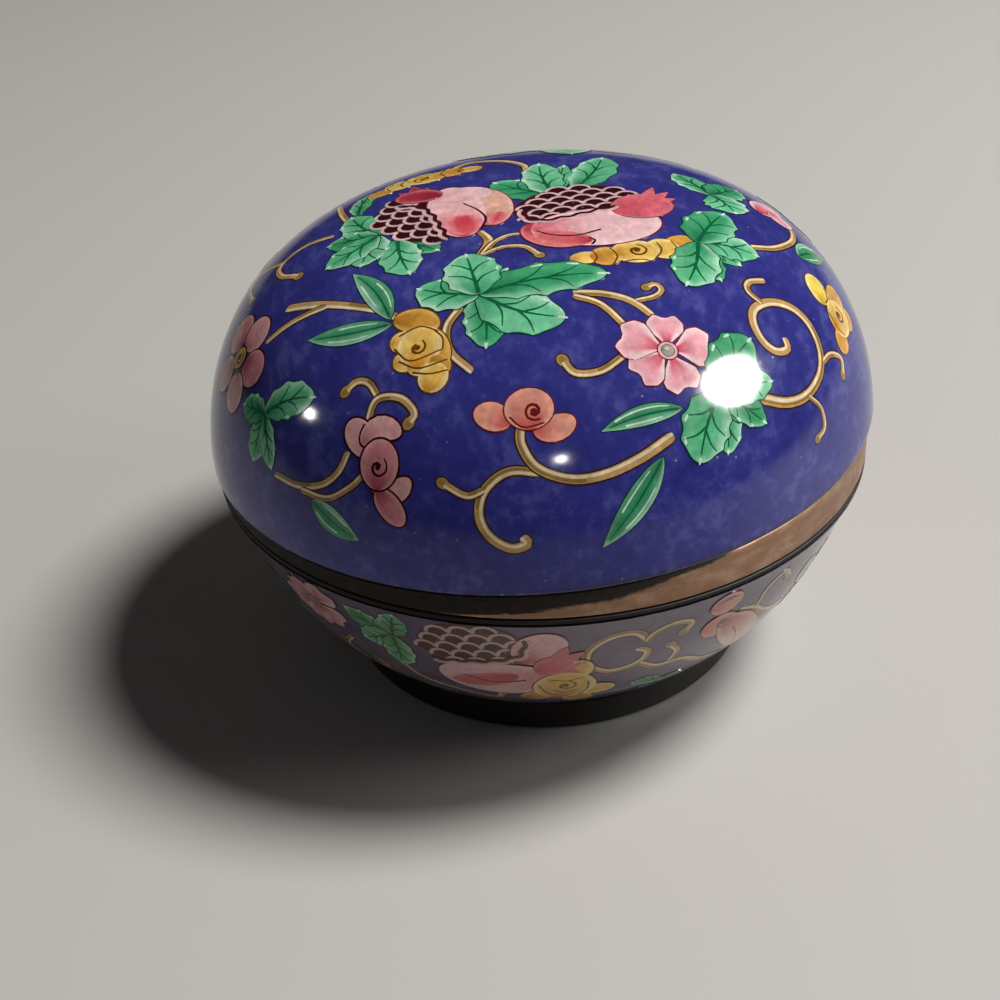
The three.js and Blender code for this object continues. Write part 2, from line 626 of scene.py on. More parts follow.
@dataclass
class RimStrip:
    """The bare copper strip under the dome, taller on the +X side, with the lip that laps inside it."""

    sizes: Sizes
    sectors: int = 288
    ease: float = 0.12
    # Painted light: along x, the strip's metal share grows from the first value and is full at the second.
    lit_from_x: float = -22.0
    lit_to_x: float = 36.0

    def build(self, material: bpy.types.Material) -> bpy.types.Object:
        """Makes the strip's object. Metal shows from its lower edge up, by a share that grows with x: painted
        light towards +X, with painted shade in the dark skin above it and on the -X side.
        """
        s = self.sizes
        low, high = s.strip_low, s.strip_high
        middle = (low + high) / 2
        r, z = eased(
            [
                (s.rim_radius, high),
                (s.rim_radius, middle + 0.9),
                (s.rim_radius, middle - 0.9),
                (s.rim_radius, low),
                (s.strip_bore, low),
                (s.strip_bore, high + LAP),
                (s.lip_radius, high + LAP),
                (s.lip_radius, high),
            ],
            self.ease,
        )
        points, faces = Turning(r, z, self.sectors).build()
        share = (points[:, 2] - low) / STRIP_HEIGHT
        # Painted light and shade: lit metal grows towards +X; the dark skin above it and on the -X side is
        # painted shade, partly the copper's own dark skin.
        lit_share = 1.15 * smooth(self.lit_from_x, self.lit_to_x, points[:, 0])
        bare_and_lit = smooth(0.22, -0.22, share - lit_share) * 0.9
        slope = math.tan(math.radians(DOME_LEAN))
        points[:, 2] += slope * points[:, 0] * np.clip(share, 0, 1)
        return new_piece("lid_rim_strip_metal", points, faces, material, {BARE_AND_LIT: bare_and_lit})


@dataclass
class Bowl:
    """The hollow enamelled bowl, with its flat floor."""

    sizes: Sizes
    steps: int = 60
    sectors: int = 360
    # A little darker than the lid's ground: painted shade.
    ground: Colour = (0.036, 0.038, 0.24)
    lining: Colour = (0.30, 0.55, 0.56)

    def build(self, material: bpy.types.Material) -> bpy.types.Object:
        """Makes the bowl's object: floor, inner wall upwards, rim, outer wall downwards and underside."""
        s = self.sizes
        inside = bowl_profile(
            (s.foot_radius - WALL, s.bowl_bottom + WALL), (s.rim_radius - WALL, s.bowl_top), self.steps
        )
        outside = bowl_profile((s.foot_radius, s.bowl_bottom), (s.rim_radius, s.bowl_top), self.steps)
        floor = np.linspace(0, s.foot_radius - WALL, 12)[:-1]
        under = np.linspace(s.foot_radius, 0, 12)[1:]
        r = np.concatenate([floor, inside[0][::-1], outside[0], under])
        low, high = np.full(len(floor), s.bowl_bottom + WALL), np.full(len(under), s.bowl_bottom)
        z = np.concatenate([low, inside[1][::-1], outside[1], high])
        turning = Turning(r, z, self.sectors)
        points, faces = turning.build()
        is_inside = turning.per_point(np.arange(len(r)) < len(floor) + len(inside[0]))
        colour = np.where(is_inside[:, None], self.lining, self.ground)
        return new_piece("bowl_enamel", points, faces, material, {PAINT: colour})


@dataclass
class RimCollar:
    """The copper ledge on the bowl's rim, and the collar that keeps the lid in place."""

    sizes: Sizes
    sectors: int = 288
    ease: float = 0.1

    def build(self, material: bpy.types.Material) -> bpy.types.Object:
        """Makes the collar's object, dark outside and handled metal on the part inside the lid."""
        s = self.sizes
        outer = s.strip_bore - GAP
        inner = outer - METAL
        r, z = eased(
            [
                (outer, s.collar_top),
                (outer, s.seam),
                (s.rim_radius, s.seam),
                (s.rim_radius, s.collar_low),
                (inner, s.collar_low),
                (inner, s.collar_top),
            ],
            self.ease,
        )
        points, faces = Turning(r, z, self.sectors).build()
        bare_and_lit = np.where(np.hypot(points[:, 0], points[:, 1]) < s.rim_radius - 1.0, 0.6, 0.15)
        return new_piece("bowl_rim_collar_metal", points, faces, material, {BARE_AND_LIT: bare_and_lit})


@dataclass
class FootRing:
    """The low dark foot ring, with eased corners."""

    sizes: Sizes
    sectors: int = 288

    def build(self, material: bpy.types.Material) -> bpy.types.Object:
        """Makes the foot's object, a little rubbed where it stands."""
        s = self.sizes
        top, foot = s.foot_radius, s.foot_radius - FOOT_TAPER
        bore = s.foot_radius - FOOT_WALL
        r, z = eased(
            [
                (top, s.foot_height),
                ((top + foot) / 2, s.foot_height * 0.6),
                (foot, EDGE),
                (foot - EDGE, 0.0),
                (bore - FOOT_TAPER + EDGE, 0.0),
                (bore - FOOT_TAPER, EDGE),
                (bore, s.foot_height),
            ],
            0.15,
        )
        points, faces = Turning(r, z, self.sectors).build()
        bare_and_lit = 0.12 + 0.4 * smooth(0.6, 0.0, points[:, 2])
        return new_piece("foot_ring_metal", points, faces, material, {BARE_AND_LIT: bare_and_lit})


# ---- drawing on the curved ground ----------------------------------------------------------------
def from_samples(at: Array, samples: Array, values: Array) -> Array:
    """Reads a sampled profile between its samples."""
    return np.interp(at, samples, values)


@dataclass
class TurnedGround:
    """A turned face that a flat plan is carried onto without changing its angles.

    The face is a profile of radius and height, listed from its top down. Its measure is the sum of arc
    length over radius, which is what a distance on the plan has to follow for angles to stay as drawn.
    """

    radius: Array
    height: Array
    lean: Lean | None = None

    def __post_init__(self) -> None:
        """Works out the outward slope and the measure along the profile."""
        step_r, step_z = np.gradient(self.radius), np.gradient(self.height)
        length = np.hypot(step_r, step_z)
        self.out_r, self.out_z = -step_z / length, step_r / length
        arcs = np.hypot(np.diff(self.radius), np.diff(self.height))
        middles = (self.radius[1:] + self.radius[:-1]) / 2
        self.measure = np.concatenate([[0.0], np.cumsum(arcs / middles)])

    def at(self, measure: Array, bearing: Array, lift: Array) -> Array:
        """Points at a measure down the profile and a bearing about the axis, lifted off the face."""
        read = [
            from_samples(measure, self.measure, v) for v in (self.radius, self.height, self.out_r, self.out_z)
        ]
        r, z = read[0] + lift * read[2], read[1] + lift * read[3]
        points = np.stack([r * np.cos(bearing), r * np.sin(bearing), z], -1)
        return self.lean.put(points) if self.lean else points


class LidPlan:
    """The lid's plan: a disc whose distance from the middle is the exponential of the dome's measure."""

    def __init__(self, sizes: Sizes) -> None:
        """Samples the dome's profile, leaving out the crown's very middle."""
        r, z = dome_profile(sizes.lid_radius, DOME_HEIGHT, 4000)
        self.ground = TurnedGround(r[5:], z[5:], sizes.dome_lean)
        self.middle = r[5]

    def place(self, plan: Array, lift: Array) -> Array:
        """Carries plan points onto the dome."""
        measure = np.log(np.maximum(np.abs(plan), self.middle) / self.middle)
        return self.ground.at(measure, np.angle(plan), lift)


class BowlPlan:
    """The bowl's plan: x is the bearing from the front and y the measure from the rim, both times a girth."""

    GIRTH = 45.0

    def __init__(self, sizes: Sizes) -> None:
        """Samples the bowl's profile."""
        r, z = bowl_profile((sizes.foot_radius, sizes.bowl_bottom), (sizes.rim_radius, sizes.bowl_top), 2000)
        self.ground = TurnedGround(r, z)

    def place(self, plan: Array, lift: Array) -> Array:
        """Carries plan points onto the bowl's wall."""
        return self.ground.at(-plan.imag / self.GIRTH, plan.real / self.GIRTH - math.pi / 2, lift)


class Group(Enum):
    """The kinds of paint. Each is one piece on each ground."""

    SCROLLS = "scrolls"
    LEAVES = "leaves"
    FRUIT = "fruit"
    BLOSSOMS = "blossoms"


class Coat:
    """All the paint of one kind on one ground: thin closed films, each with its own colours."""

    LOWEST = 0.012
    STEP = 0.0035
    SINK = -0.03

    def __init__(self, plan: LidPlan | BowlPlan) -> None:
        """Starts an empty coat."""
        self.plan = plan
        self.points: list[Array] = []
        self.colours: list[Array] = []
        self.faces: list[list[int]] = []
        self.count = 0

    def film(self, grid: Array, colour: Array, level: float, swell: float = 0.0) -> None:
        """Adds one film.

        Its top follows the ground at the level's height. Its two long edges drop below the ground, where a
        bottom face closes it, and so do its ends.

        Args:
            grid: Plan points, rows along the film and columns across it.
            colour: The colour of each.
            level: How many coats of paint lie under it.
            swell: How much thicker it is along its middle, in millimetres.
        """
        rows, columns = grid.shape
        if self._area(grid) < 0:
            grid, colour = grid[:, ::-1], colour[:, ::-1]
        across = np.linspace(-1, 1, columns)
        lift = self.LOWEST + level * self.STEP + swell * (1 - across**2) * np.ones((rows, 1))
        top = self.plan.place(grid, lift).reshape(-1, 3)
        edges = grid[:, [0, -1]]
        bottom = self.plan.place(edges, np.full(edges.shape, self.SINK)).reshape(-1, 3)
        self.points += [top, bottom]
        self.colours += [colour.reshape(-1, 3), colour[:, [0, -1]].reshape(-1, 3)]
        self.faces += self._faces(rows, columns)
        self.count += len(top) + len(bottom)

    @staticmethod
    def _area(grid: Array) -> float:
        """Twice the signed area of the film's cells: positive where rows, then columns, turn clockwise."""
        along, across = np.diff(grid, axis=0)[:, :-1], np.diff(grid, axis=1)[:-1]
        return float(np.sum((np.conj(along) * across).imag))

    def _faces(self, rows: int, columns: int) -> list[list[int]]:
        """Faces of a film: top, two long sides, bottom and two ends."""
        row, column = np.meshgrid(np.arange(rows - 1), np.arange(columns - 1), indexing="ij")
        a = self.count + row * columns + column
        top = np.stack([a, a + columns, a + columns + 1, a + 1], -1).reshape(-1, 4)
        i = np.arange(rows - 1)
        left, right = self.count + i * columns, self.count + i * columns + columns - 1
        under = self.count + rows * columns + 2 * i
        sides = [
            np.stack([left, under, under + 2, left + columns], -1),
            np.stack([right, right + columns, under + 3, under + 1], -1),
            np.stack([under, under + 1, under + 3, under + 2], -1),
        ]
        first = [self.count + c for c in range(columns)]
        last = [self.count + (rows - 1) * columns + c for c in range(columns)]
        base = self.count + rows * columns
        ends = [[*first, base + 1, base], [*last[::-1], base + 2 * rows - 2, base + 2 * rows - 1]]
        return [*top.tolist(), *np.concatenate(sides).tolist(), *ends]

    def build(self, name: str, material: bpy.types.Material) -> bpy.types.Object:
        """Makes the coat's object."""
        return new_piece(
            name, np.concatenate(self.points), self.faces, material, {PAINT: np.concatenate(self.colours)}
        )


class Picture:
    """The coats of one ground, one for each kind of paint."""

    def __init__(self, plan: LidPlan | BowlPlan) -> None:
        """Starts with bare ground."""
        self.coats = {group: Coat(plan) for group in Group}


def curve(points: Sequence[complex], spacing: float = 0.55) -> Array:
    """A smooth line through points: Catmull-Rom spans, walked at an even spacing."""
    p = np.array(points, complex)
    p = np.concatenate([[2 * p[0] - p[1]], p, [2 * p[-1] - p[-2]]])
    t = np.linspace(0, 1, 24, endpoint=False)[None, :]
    a, b, c, d = (p[k : len(p) - 3 + k, None] for k in range(4))
    spans = 0.5 * (2 * b + (c - a) * t + (2 * a - 5 * b + 4 * c - d) * t**2 + (3 * b - a - 3 * c + d) * t**3)
    line = np.append(spans.ravel(), p[-2])
    walked = np.concatenate([[0.0], np.cumsum(np.abs(np.diff(line)))])
    count = max(int(walked[-1] / spacing) + 1, 5)
    return np.interp(np.linspace(0, walked[-1], count), walked, line)


def spiral(middle: complex, start: float, radius: float, turns: float, first: float = 0.4) -> Array:
    """A spiral from near its middle outwards: the radius grows evenly with the angle.

    Args:
        middle: Its centre.
        start: The bearing where it begins, in degrees.
        radius: Where it ends.
        turns: How many times it goes round; below 0 clockwise.
        first: The radius where it begins.

    Returns:
        Points along it.
    """
    t = np.linspace(0, 1, max(int(abs(turns) * 6 * radius), 12))
    bearing = math.radians(start) + 2 * math.pi * turns * t
    return middle + (first + (radius - first) * t) * np.exp(1j * bearing)


def scalloped(path: Array, pitch: float, depth: float) -> Array:
    """A line pushed to its left in bumps: depth times the size of a sine whose half wave is the pitch."""
    walked = np.concatenate([[0.0], np.cumsum(np.abs(np.diff(path)))])
    ahead = np.gradient(path)
    return path + 1j * ahead / np.abs(ahead) * depth * np.abs(np.sin(math.pi * walked / pitch))


def blend(first: Array | Colour, second: Array | Colour, share: Array) -> Array:
    """One colour to another by a share, for whole grids."""
    share = np.clip(share, 0, 1)[..., None]
    return np.asarray(first) * (1 - share) + np.asarray(second) * share


@dataclass(frozen=True)
class Tint:
    """How one film is shaded: a body colour, one at its edges and one near its root.

    The edge colour comes in over the outer part of the half width, on both sides or mostly on one.
    """

    body: Colour
    rim: Colour
    heart: Colour
    rim_from: float = 0.55
    heart_to: float = 0.5
    lit_side: float = 0.0

    def wash(self, along: Array, across: Array) -> Array:
        """Colours for a grid, from its share along (0 to 1) and its place across (-1 to 1)."""
        u, v = np.meshgrid(along, across, indexing="ij")
        colour = blend(self.body, self.heart, 1 - smooth(0.0, self.heart_to, u))
        side = np.clip(1 + self.lit_side * v, 0, 1)
        edge = np.maximum(smooth(self.rim_from, 1.0, np.abs(v)), smooth(0.86, 1.0, u))
        return blend(colour, self.rim, edge * side)


@dataclass(frozen=True)
class Pose:
    """Where a motif stands on the plan: its place, its turn in degrees and its size."""

    at: complex = 0j
    turn: float = 0.0
    size: float = 1.0

    def put(self, points: Array) -> Array:
        """Turned and sized, then moved to its place."""
        return self.at + self.size * np.exp(1j * math.radians(self.turn)) * np.asarray(points)


@dataclass(frozen=True)
class Lobe:
    """A leaf's lobe or a petal.

    Its spine runs from its root to its tip and bows sideways by a sine. Half its width is the share along
    it to the power root times the rest to the power point, scaled to its greatest. Equal powers of a half
    make an ellipse.
    """

    start: complex
    tip: complex
    width: float
    bend: float = 0.0
    root: float = 0.5
    point: float = 0.5
    teeth: int = 0
    tooth: float = 0.2

    def spine(self, u: Array) -> Array:
        """Points on the spine at shares of its length."""
        return self.start + (self.tip - self.start) * (u + 1j * self.bend * np.sin(math.pi * u))

    def half(self, u: Array) -> Array:
        """Half the width at those shares."""
        widest = self.root / (self.root + self.point)
        most = widest**self.root * (1 - widest) ** self.point
        half = self.width / 2 * u**self.root * (1 - u) ** self.point / most
        if not self.teeth:
            return half
        return half * (1 - self.tooth * np.abs(np.sin(math.pi * u * self.teeth)) ** 0.8)

    def holds(self, point: complex, ease: float) -> bool:
        """Whether a point lies inside the lobe, or no further outside it than the ease."""
        place = (point - self.start) / (self.tip - self.start)
        u = min(max(place.real, 0.0), 1.0)
        length = abs(self.tip - self.start)
        beyond = abs(place.real - u) * length
        half = float(self.half(np.array([u]))[0])
        aside = abs(place.imag - self.bend * math.sin(math.pi * u)) * length - half
        return aside <= ease and beyond <= max(ease, 0.0)

    def edge_point(self, u: float, v: float) -> complex:
        """The place at a share along and across."""
        around = self.spine(np.array([u - 0.01, u + 0.01]))
        out = 1j * (around[1] - around[0]) / abs(around[1] - around[0])
        return complex(self.spine(np.array([u]))[0] + out * self.half(np.array([u]))[0] * v)

    def grid(self, across: Array, grow: float = 0.0) -> tuple[Array, Array]:
        """The lobe's film.

        Args:
            across: The places of its columns, from -1 to 1.
            grow: How much larger it is than the lobe all round.

        Returns:
            Its plan points and the share along of each row.
        """
        length = abs(self.tip - self.start)
        count = max(int(length / 0.45), 10, self.teeth * 9)
        u = (1 - np.cos(np.linspace(0, math.pi, count))) / 2
        line = self.spine(u)
        ahead = np.gradient(line)
        ahead = ahead / np.maximum(np.abs(ahead), 1e-9)
        ends = (2 * u - 1) * np.abs(2 * u - 1)
        half = np.maximum(self.half(u) + grow * np.sqrt(np.maximum(4 * u * (1 - u), 0.0)), 0.02)
        return (line + ahead * ends * grow)[:, None] + 1j * ahead[:, None] * across * half[:, None], u


def oval(middle: complex, length: float, width: float, turn: float = 0.0) -> Lobe:
    """An elliptical petal about its middle, its length turned from +x by degrees."""
    reach = np.exp(1j * math.radians(turn)) * length / 2
    return Lobe(middle - reach, middle + reach, width)


def even_columns(width: float) -> Array:
    """Places across a film, closer together towards its edges."""
    return np.sin(math.pi / 2 * np.linspace(-1, 1, 2 * max(int(width / 1.3), 2) + 1))


EDGE_COLUMNS = np.array([-1.0, -0.84, 0.0, 0.84, 1.0])


@dataclass
class Brush:
    """Paints films of one kind of paint, in one pose, from one level up."""

    picture: Picture
    group: Group
    pose: Pose = Pose()
    level: float = 0.0

    def up(self, steps: float = 1.0) -> None:
        """What is painted next lies on top."""
        self.level += steps

    def outline(self, lobe: Lobe, line: Colour, width: float) -> None:
        """Paints the dark film whose edge shows all round a lobe."""
        grid, _ = lobe.grid(EDGE_COLUMNS, width)
        colours = np.broadcast_to(line, (*grid.shape, 3))
        self.picture.coats[self.group].film(self.pose.put(grid), colours, self.level)

    def lobe(self, lobe: Lobe, tint: Tint, line: Colour | None = None, width: float = 0.22) -> None:
        """Paints a lobe, over its outline if it has one."""
        if line is not None:
            self.outline(lobe, line, width)
            self.up()
        columns = even_columns(lobe.width)
        grid, along = lobe.grid(columns)
        self.picture.coats[self.group].film(self.pose.put(grid), tint.wash(along, columns), self.level)
        self.up()

    def merged(self, lobes: Sequence[tuple[Lobe, Tint]], line: Colour, width: float = 0.22) -> None:
        """Paints lobes that make one shape, with one outline round them all."""
        for lobe, _ in lobes:
            self.outline(lobe, line, width)
        self.up()
        for lobe, tint in lobes:
            self.lobe(lobe, tint)

    def stroke(
        self,
        path: Array,
        width: float,
        colour: Colour,
        taper: tuple[float, float] = (1.0, 1.0),
        offset: float = 0.0,
        swell: float = 0.0,
    ) -> None:
        """Paints a line with rounded ends.

        Args:
            path: Points along it, in the motif's own plan.
            width: Its width.
            colour: Its colour.
            taper: The share of that width at its start and at its end.
            offset: How far it is moved to the left of its path.
            swell: How much thicker it is along its middle.
        """
        walked = np.concatenate([[0.0], np.cumsum(np.abs(np.diff(path)))])
        whole = walked[-1]
        cap = min(width / 2, whole / 3)
        caps = cap * np.array([0.0, 0.12, 0.4])
        inner = np.linspace(cap, whole - cap, max(int((whole - 2 * cap) / 0.55) + 1, 3))
        at = np.concatenate([caps, inner, whole - caps[::-1]])
        line = np.interp(at, walked, path)
        ahead = np.gradient(line)
        ahead = ahead / np.maximum(np.abs(ahead), 1e-9)
        from_end = np.clip(np.minimum(at, whole - at) / cap, 0, 1)
        share = taper[0] + (taper[1] - taper[0]) * at / whole
        half = np.maximum(width / 2 * share * np.sqrt(from_end * (2 - from_end)), 0.02)
        across = np.array([-1.0, 0.0, 1.0])
        grid = (line + 1j * ahead * offset)[:, None] + 1j * ahead[:, None] * across * half[:, None]
        colours = np.broadcast_to(colour, (*grid.shape, 3))
        self.picture.coats[self.group].film(self.pose.put(grid), colours, self.level, swell)


# ---- painter's colours ---------------------------------------------------------------------------
def tone(red: float, green: float, blue: float) -> Colour:
    """A colour as it looks on a screen, 0 to 255, as the linear amounts that a shader mixes."""
    parts = np.array([red, green, blue]) / 255.0
    linear = np.where(parts <= 0.04045, parts / 12.92, ((parts + 0.055) / 1.055) ** 2.4)
    return tuple(float(x) for x in linear)


LEAF_LINE = tone(14, 66, 52)
LEAF_VEIN = tone(20, 102, 68)
LEAF_GLINT = tone(214, 244, 228)
LEAF_GREENS = (
    Tint(
        body=tone(92, 190, 138),
        rim=tone(168, 226, 196),
        heart=tone(44, 146, 98),
        rim_from=0.35,
        lit_side=1.0,
    ),
    Tint(
        body=tone(60, 164, 112),
        rim=tone(140, 212, 174),
        heart=tone(34, 126, 84),
        rim_from=0.35,
        lit_side=-1.0,
    ),
    Tint(
        body=tone(112, 204, 156),
        rim=tone(178, 230, 200),
        heart=tone(52, 154, 106),
        rim_from=0.4,
        lit_side=1.0,
    ),
)
REED_GREEN = Tint(
    body=tone(44, 146, 98),
    rim=tone(164, 216, 186),
    heart=tone(28, 106, 78),
    rim_from=0.3,
    heart_to=0.3,
    lit_side=0.8,
)
ROSE_LINE = tone(126, 26, 48)
PETAL_PINK = Tint(
    body=tone(248, 178, 190), rim=tone(255, 228, 232), heart=tone(220, 72, 100), rim_from=0.5, heart_to=0.75
)
FLESH_PINK = Tint(body=tone(246, 200, 206), rim=tone(250, 214, 218), heart=tone(230, 120, 136), heart_to=0.55)
FLESH_CORAL = Tint(body=tone(244, 190, 196), rim=tone(246, 204, 208), heart=tone(206, 76, 84), heart_to=0.6)
PEACH = Tint(body=tone(236, 182, 164), rim=tone(240, 196, 178), heart=tone(200, 96, 88), heart_to=0.55)
CORAL = Tint(body=tone(224, 108, 116), rim=tone(232, 140, 140), heart=tone(196, 62, 80))
CALYX = Tint(body=tone(226, 104, 122), rim=tone(226, 128, 140), heart=tone(214, 86, 104), heart_to=0.7)
CALYX_DEEP = Tint(
    body=tone(172, 48, 66), rim=tone(222, 124, 136), heart=tone(160, 40, 58), rim_from=0.6, heart_to=0.7
)
BUD_CORAL = Tint(body=tone(232, 158, 138), rim=tone(240, 176, 156), heart=tone(216, 96, 92), heart_to=0.7)
SEED_CELL = Tint(body=tone(52, 10, 20), rim=tone(84, 26, 38), heart=tone(60, 12, 22), rim_from=0.8)
WINE_LINE = tone(72, 10, 28)
SEED_SKIN = tone(226, 190, 194)
YELLOW = Tint(body=tone(240, 196, 100), rim=tone(252, 230, 160), heart=tone(210, 148, 54), heart_to=0.6)
LEMON = Tint(body=tone(250, 226, 104), rim=tone(255, 240, 170), heart=tone(226, 180, 60), heart_to=0.6)
OCHRE = Tint(body=tone(216, 158, 66), rim=tone(236, 190, 104), heart=tone(182, 122, 42), heart_to=0.6)
ROSE_SHADE = Tint(body=tone(216, 72, 88), rim=tone(244, 150, 160), heart=tone(224, 100, 112), rim_from=0.25)
OCHRE_LINE = tone(112, 68, 20)
GOLD = tone(198, 160, 106)
GOLD_EDGE = tone(66, 40, 22)
GOLD_SHADE = tone(150, 120, 66)
GOLD_LIGHT = tone(242, 224, 188)
DUSKY = Tint(body=tone(214, 138, 146), rim=tone(226, 164, 168), heart=tone(168, 72, 88), heart_to=0.6)
DUSKY_PALE = Tint(body=tone(226, 168, 168), rim=tone(234, 184, 182), heart=tone(196, 120, 126), heart_to=0.5)
DUSKY_LINE = tone(58, 12, 24)
EYE_RING = Tint(body=tone(240, 196, 200), rim=tone(236, 176, 184), heart=tone(240, 200, 204))
EYE_GREEN = Tint(body=tone(150, 164, 148), rim=tone(214, 170, 176), heart=tone(110, 130, 116))


# ---- motifs --------------------------------------------------------------------------------------
@dataclass(frozen=True)
class LeafCluster:
    """A leaf of several toothed lobes that spread from one hub, each veined and paler along one side.

    Each lobe is its tip, its width and its sideways bow.
    """

    hub: complex
    lobes: tuple[tuple[complex, float, float], ...]

    def paint(self, picture: Picture, pose: Pose = Pose(), level: float = 0.0) -> None:
        """Paints the lobes one over another."""
        brush = Brush(picture, Group.LEAVES, pose, level)
        for number, (tip, width, bend) in enumerate(self.lobes):
            teeth = 4 if width > 4.4 else 3
            lobe = Lobe(self.hub, tip, width, bend, root=0.62, point=0.6, teeth=teeth, tooth=0.17)
            brush.lobe(lobe, LEAF_GREENS[number % len(LEAF_GREENS)], LEAF_LINE, 0.2)
            self.veins(brush, lobe, -1 if number % 2 else 1)
            brush.up()

    @staticmethod
    def veins(brush: Brush, lobe: Lobe, lit: int) -> None:
        """Draws the midrib, two curved veins on each side of it, and pale dabs on the teeth of one edge."""
        brush.stroke(lobe.spine(np.linspace(0.02, 0.9, 14)), 0.52, LEAF_VEIN, (1.3, 0.4))
        for side, from_share in ((-1, 0.22), (1, 0.3), (-1, 0.5), (1, 0.56)):
            start = complex(lobe.spine(np.array([from_share]))[0])
            bow = lobe.edge_point(from_share + 0.15, side * 0.34)
            end = lobe.edge_point(from_share + 0.24, side * 0.84)
            brush.stroke(curve([start, bow, end], 0.4), 0.36, LEAF_VEIN, (1.1, 0.5))
        for share in (0.5, 0.76):
            dab = np.array(
                [lobe.edge_point(share - 0.05, lit * 0.86), lobe.edge_point(share + 0.04, lit * 0.9)]
            )
            brush.stroke(dab, 0.5, LEAF_GLINT, (0.6, 1.0))
        tip = lobe.spine(np.array([0.93, 1.03]))
        brush.stroke(tip, 0.55, LEAF_GLINT, (1.0, 0.5))


@dataclass(frozen=True)
class Reed:
    """A slender pointed leaf, pale along its edges and streaked lengthwise."""

    start: complex
    tip: complex
    width: float
    bend: float = 0.06
    streaks: int = 2

    def paint(self, picture: Picture, pose: Pose = Pose(), level: float = 0.0) -> None:
        """Paints the blade and its streaks."""
        brush = Brush(picture, Group.LEAVES, pose, level)
        lobe = Lobe(self.start, self.tip, self.width, self.bend, root=0.8, point=1.0)
        brush.lobe(lobe, REED_GREEN, LEAF_LINE, 0.18)
        brush.stroke(lobe.spine(np.linspace(0.05, 0.9, 14)), 0.34, LEAF_VEIN, (1.0, 0.4))
        brush.up()
        for number in range(self.streaks):
            side = 0.62 if number % 2 else -0.62
            shares = np.linspace(0.16 + 0.1 * number, 0.62 + 0.1 * number, 8)
            line = np.array([lobe.edge_point(share, side) for share in shares])
            brush.stroke(line, 0.34, LEAF_GLINT, (0.4, 0.9))


@dataclass(frozen=True)
class Scroll:
    """A gold stem or tendril: a dark edge, the gold, a pale light along one side, and a knob at its end."""

    points: tuple[complex, ...]
    width: float = 1.25
    taper: tuple[float, float] = (1.0, 0.9)
    light: float = 1.0
    knob: float = 0.0

    def paint(self, picture: Picture, pose: Pose = Pose(), level: float = 0.0) -> None:
        """Paints the three strokes, the knob between the first and the last."""
        brush = Brush(picture, Group.SCROLLS, pose, level)
        path = curve(self.points)
        width = self.width * 0.92
        end = path[-1] + 0.2 * (path[-1] - path[-3])
        turn = math.degrees(np.angle(path[-1] - path[-3]))
        knob = oval(end, self.knob * width * 1.25, self.knob * width, turn)
        brush.stroke(path, width + 0.5, GOLD_EDGE, self.taper)
        if self.knob:
            brush.lobe(knob, Tint(GOLD_SHADE, GOLD, GOLD), GOLD_EDGE, 0.24)
        brush.up()
        brush.stroke(path, width, GOLD, self.taper)
        brush.up()
        brush.stroke(path[: len(path) // 2], width * 0.5, GOLD_SHADE, (0.4, 0.8), -0.2 * width * self.light)
        brush.stroke(path, width * 0.34, GOLD_LIGHT, self.taper, 0.22 * width * self.light)


@dataclass(frozen=True)
class FanPetal:
    """A petal of an open flower: a slice of a disc with a rounded, notched and rippled outer edge.

    Its edge lies at its reach less a share of the place across to the third power, less a narrow dip in the
    middle and less the ripples of a sine. Its angle across opens from its root by a quarter sine.
    """

    middle: complex
    bearing: float
    reach: float
    spread: float = 37.0
    notch: float = 0.13

    def grid(self, across: Array, grow: float = 0.0) -> tuple[Array, Array]:
        """The petal's film and the share along of each row, larger all round by grow."""
        u = np.linspace(0.0, 1.0, 14)
        dips = self.notch * np.exp(-((across / 0.22) ** 2)) + 0.03 * np.abs(np.sin(2.5 * math.pi * across))
        far = self.reach * (1 - 0.3 * np.abs(across) ** 3 - dips) + grow
        near = 0.12 * self.reach
        r = near + (far - near)[None, :] * u[:, None]
        opening = 0.5 + 0.5 * np.sin(math.pi / 2 * u**0.8)
        angle = math.radians(self.spread) * opening[:, None] * across[None, :]
        angle = angle + grow / np.maximum(r, 0.5) * across
        return self.middle + r * np.exp(1j * (math.radians(self.bearing) + angle)), u


@dataclass(frozen=True)
class Blossom:
    """An open flower of five notched petals round a ringed green eye.

    Each petal is its bearing in degrees and its reach.
    """

    petals: tuple[tuple[float, float], ...] = ((94, 5.9), (18, 6.9), (-62, 6.5), (-134, 6.4), (166, 7.2))

    def paint(self, picture: Picture, pose: Pose = Pose(), level: float = 0.0) -> None:
        """Paints the petals, each outlined, then the eye."""
        brush = Brush(picture, Group.BLOSSOMS, pose, level)
        columns = np.linspace(-1, 1, 21)
        coat = picture.coats[Group.BLOSSOMS]
        for bearing, reach in self.petals:
            petal = FanPetal(0j, bearing, reach)
            edge, _ = petal.grid(columns, 0.18)
            coat.film(pose.put(edge), np.broadcast_to(ROSE_LINE, (*edge.shape, 3)), brush.level)
            grid, along = petal.grid(columns)
            coat.film(pose.put(grid), PETAL_PINK.wash(along, columns), brush.level + 1)
            brush.up(1.0)
        brush.up()
        self.eye(brush)

    @staticmethod
    def eye(brush: Brush) -> None:
        """Draws a dark ring, a pale ring and a green middle with a light in it."""
        brush.lobe(oval(0j, 2.7, 2.6), EYE_RING, ROSE_LINE, 0.2)
        brush.lobe(oval(0j, 1.7, 1.6), EYE_GREEN, tone(70, 78, 66), 0.14)
        brush.lobe(oval(-0.15 + 0.25j, 0.6, 0.4), EYE_RING)


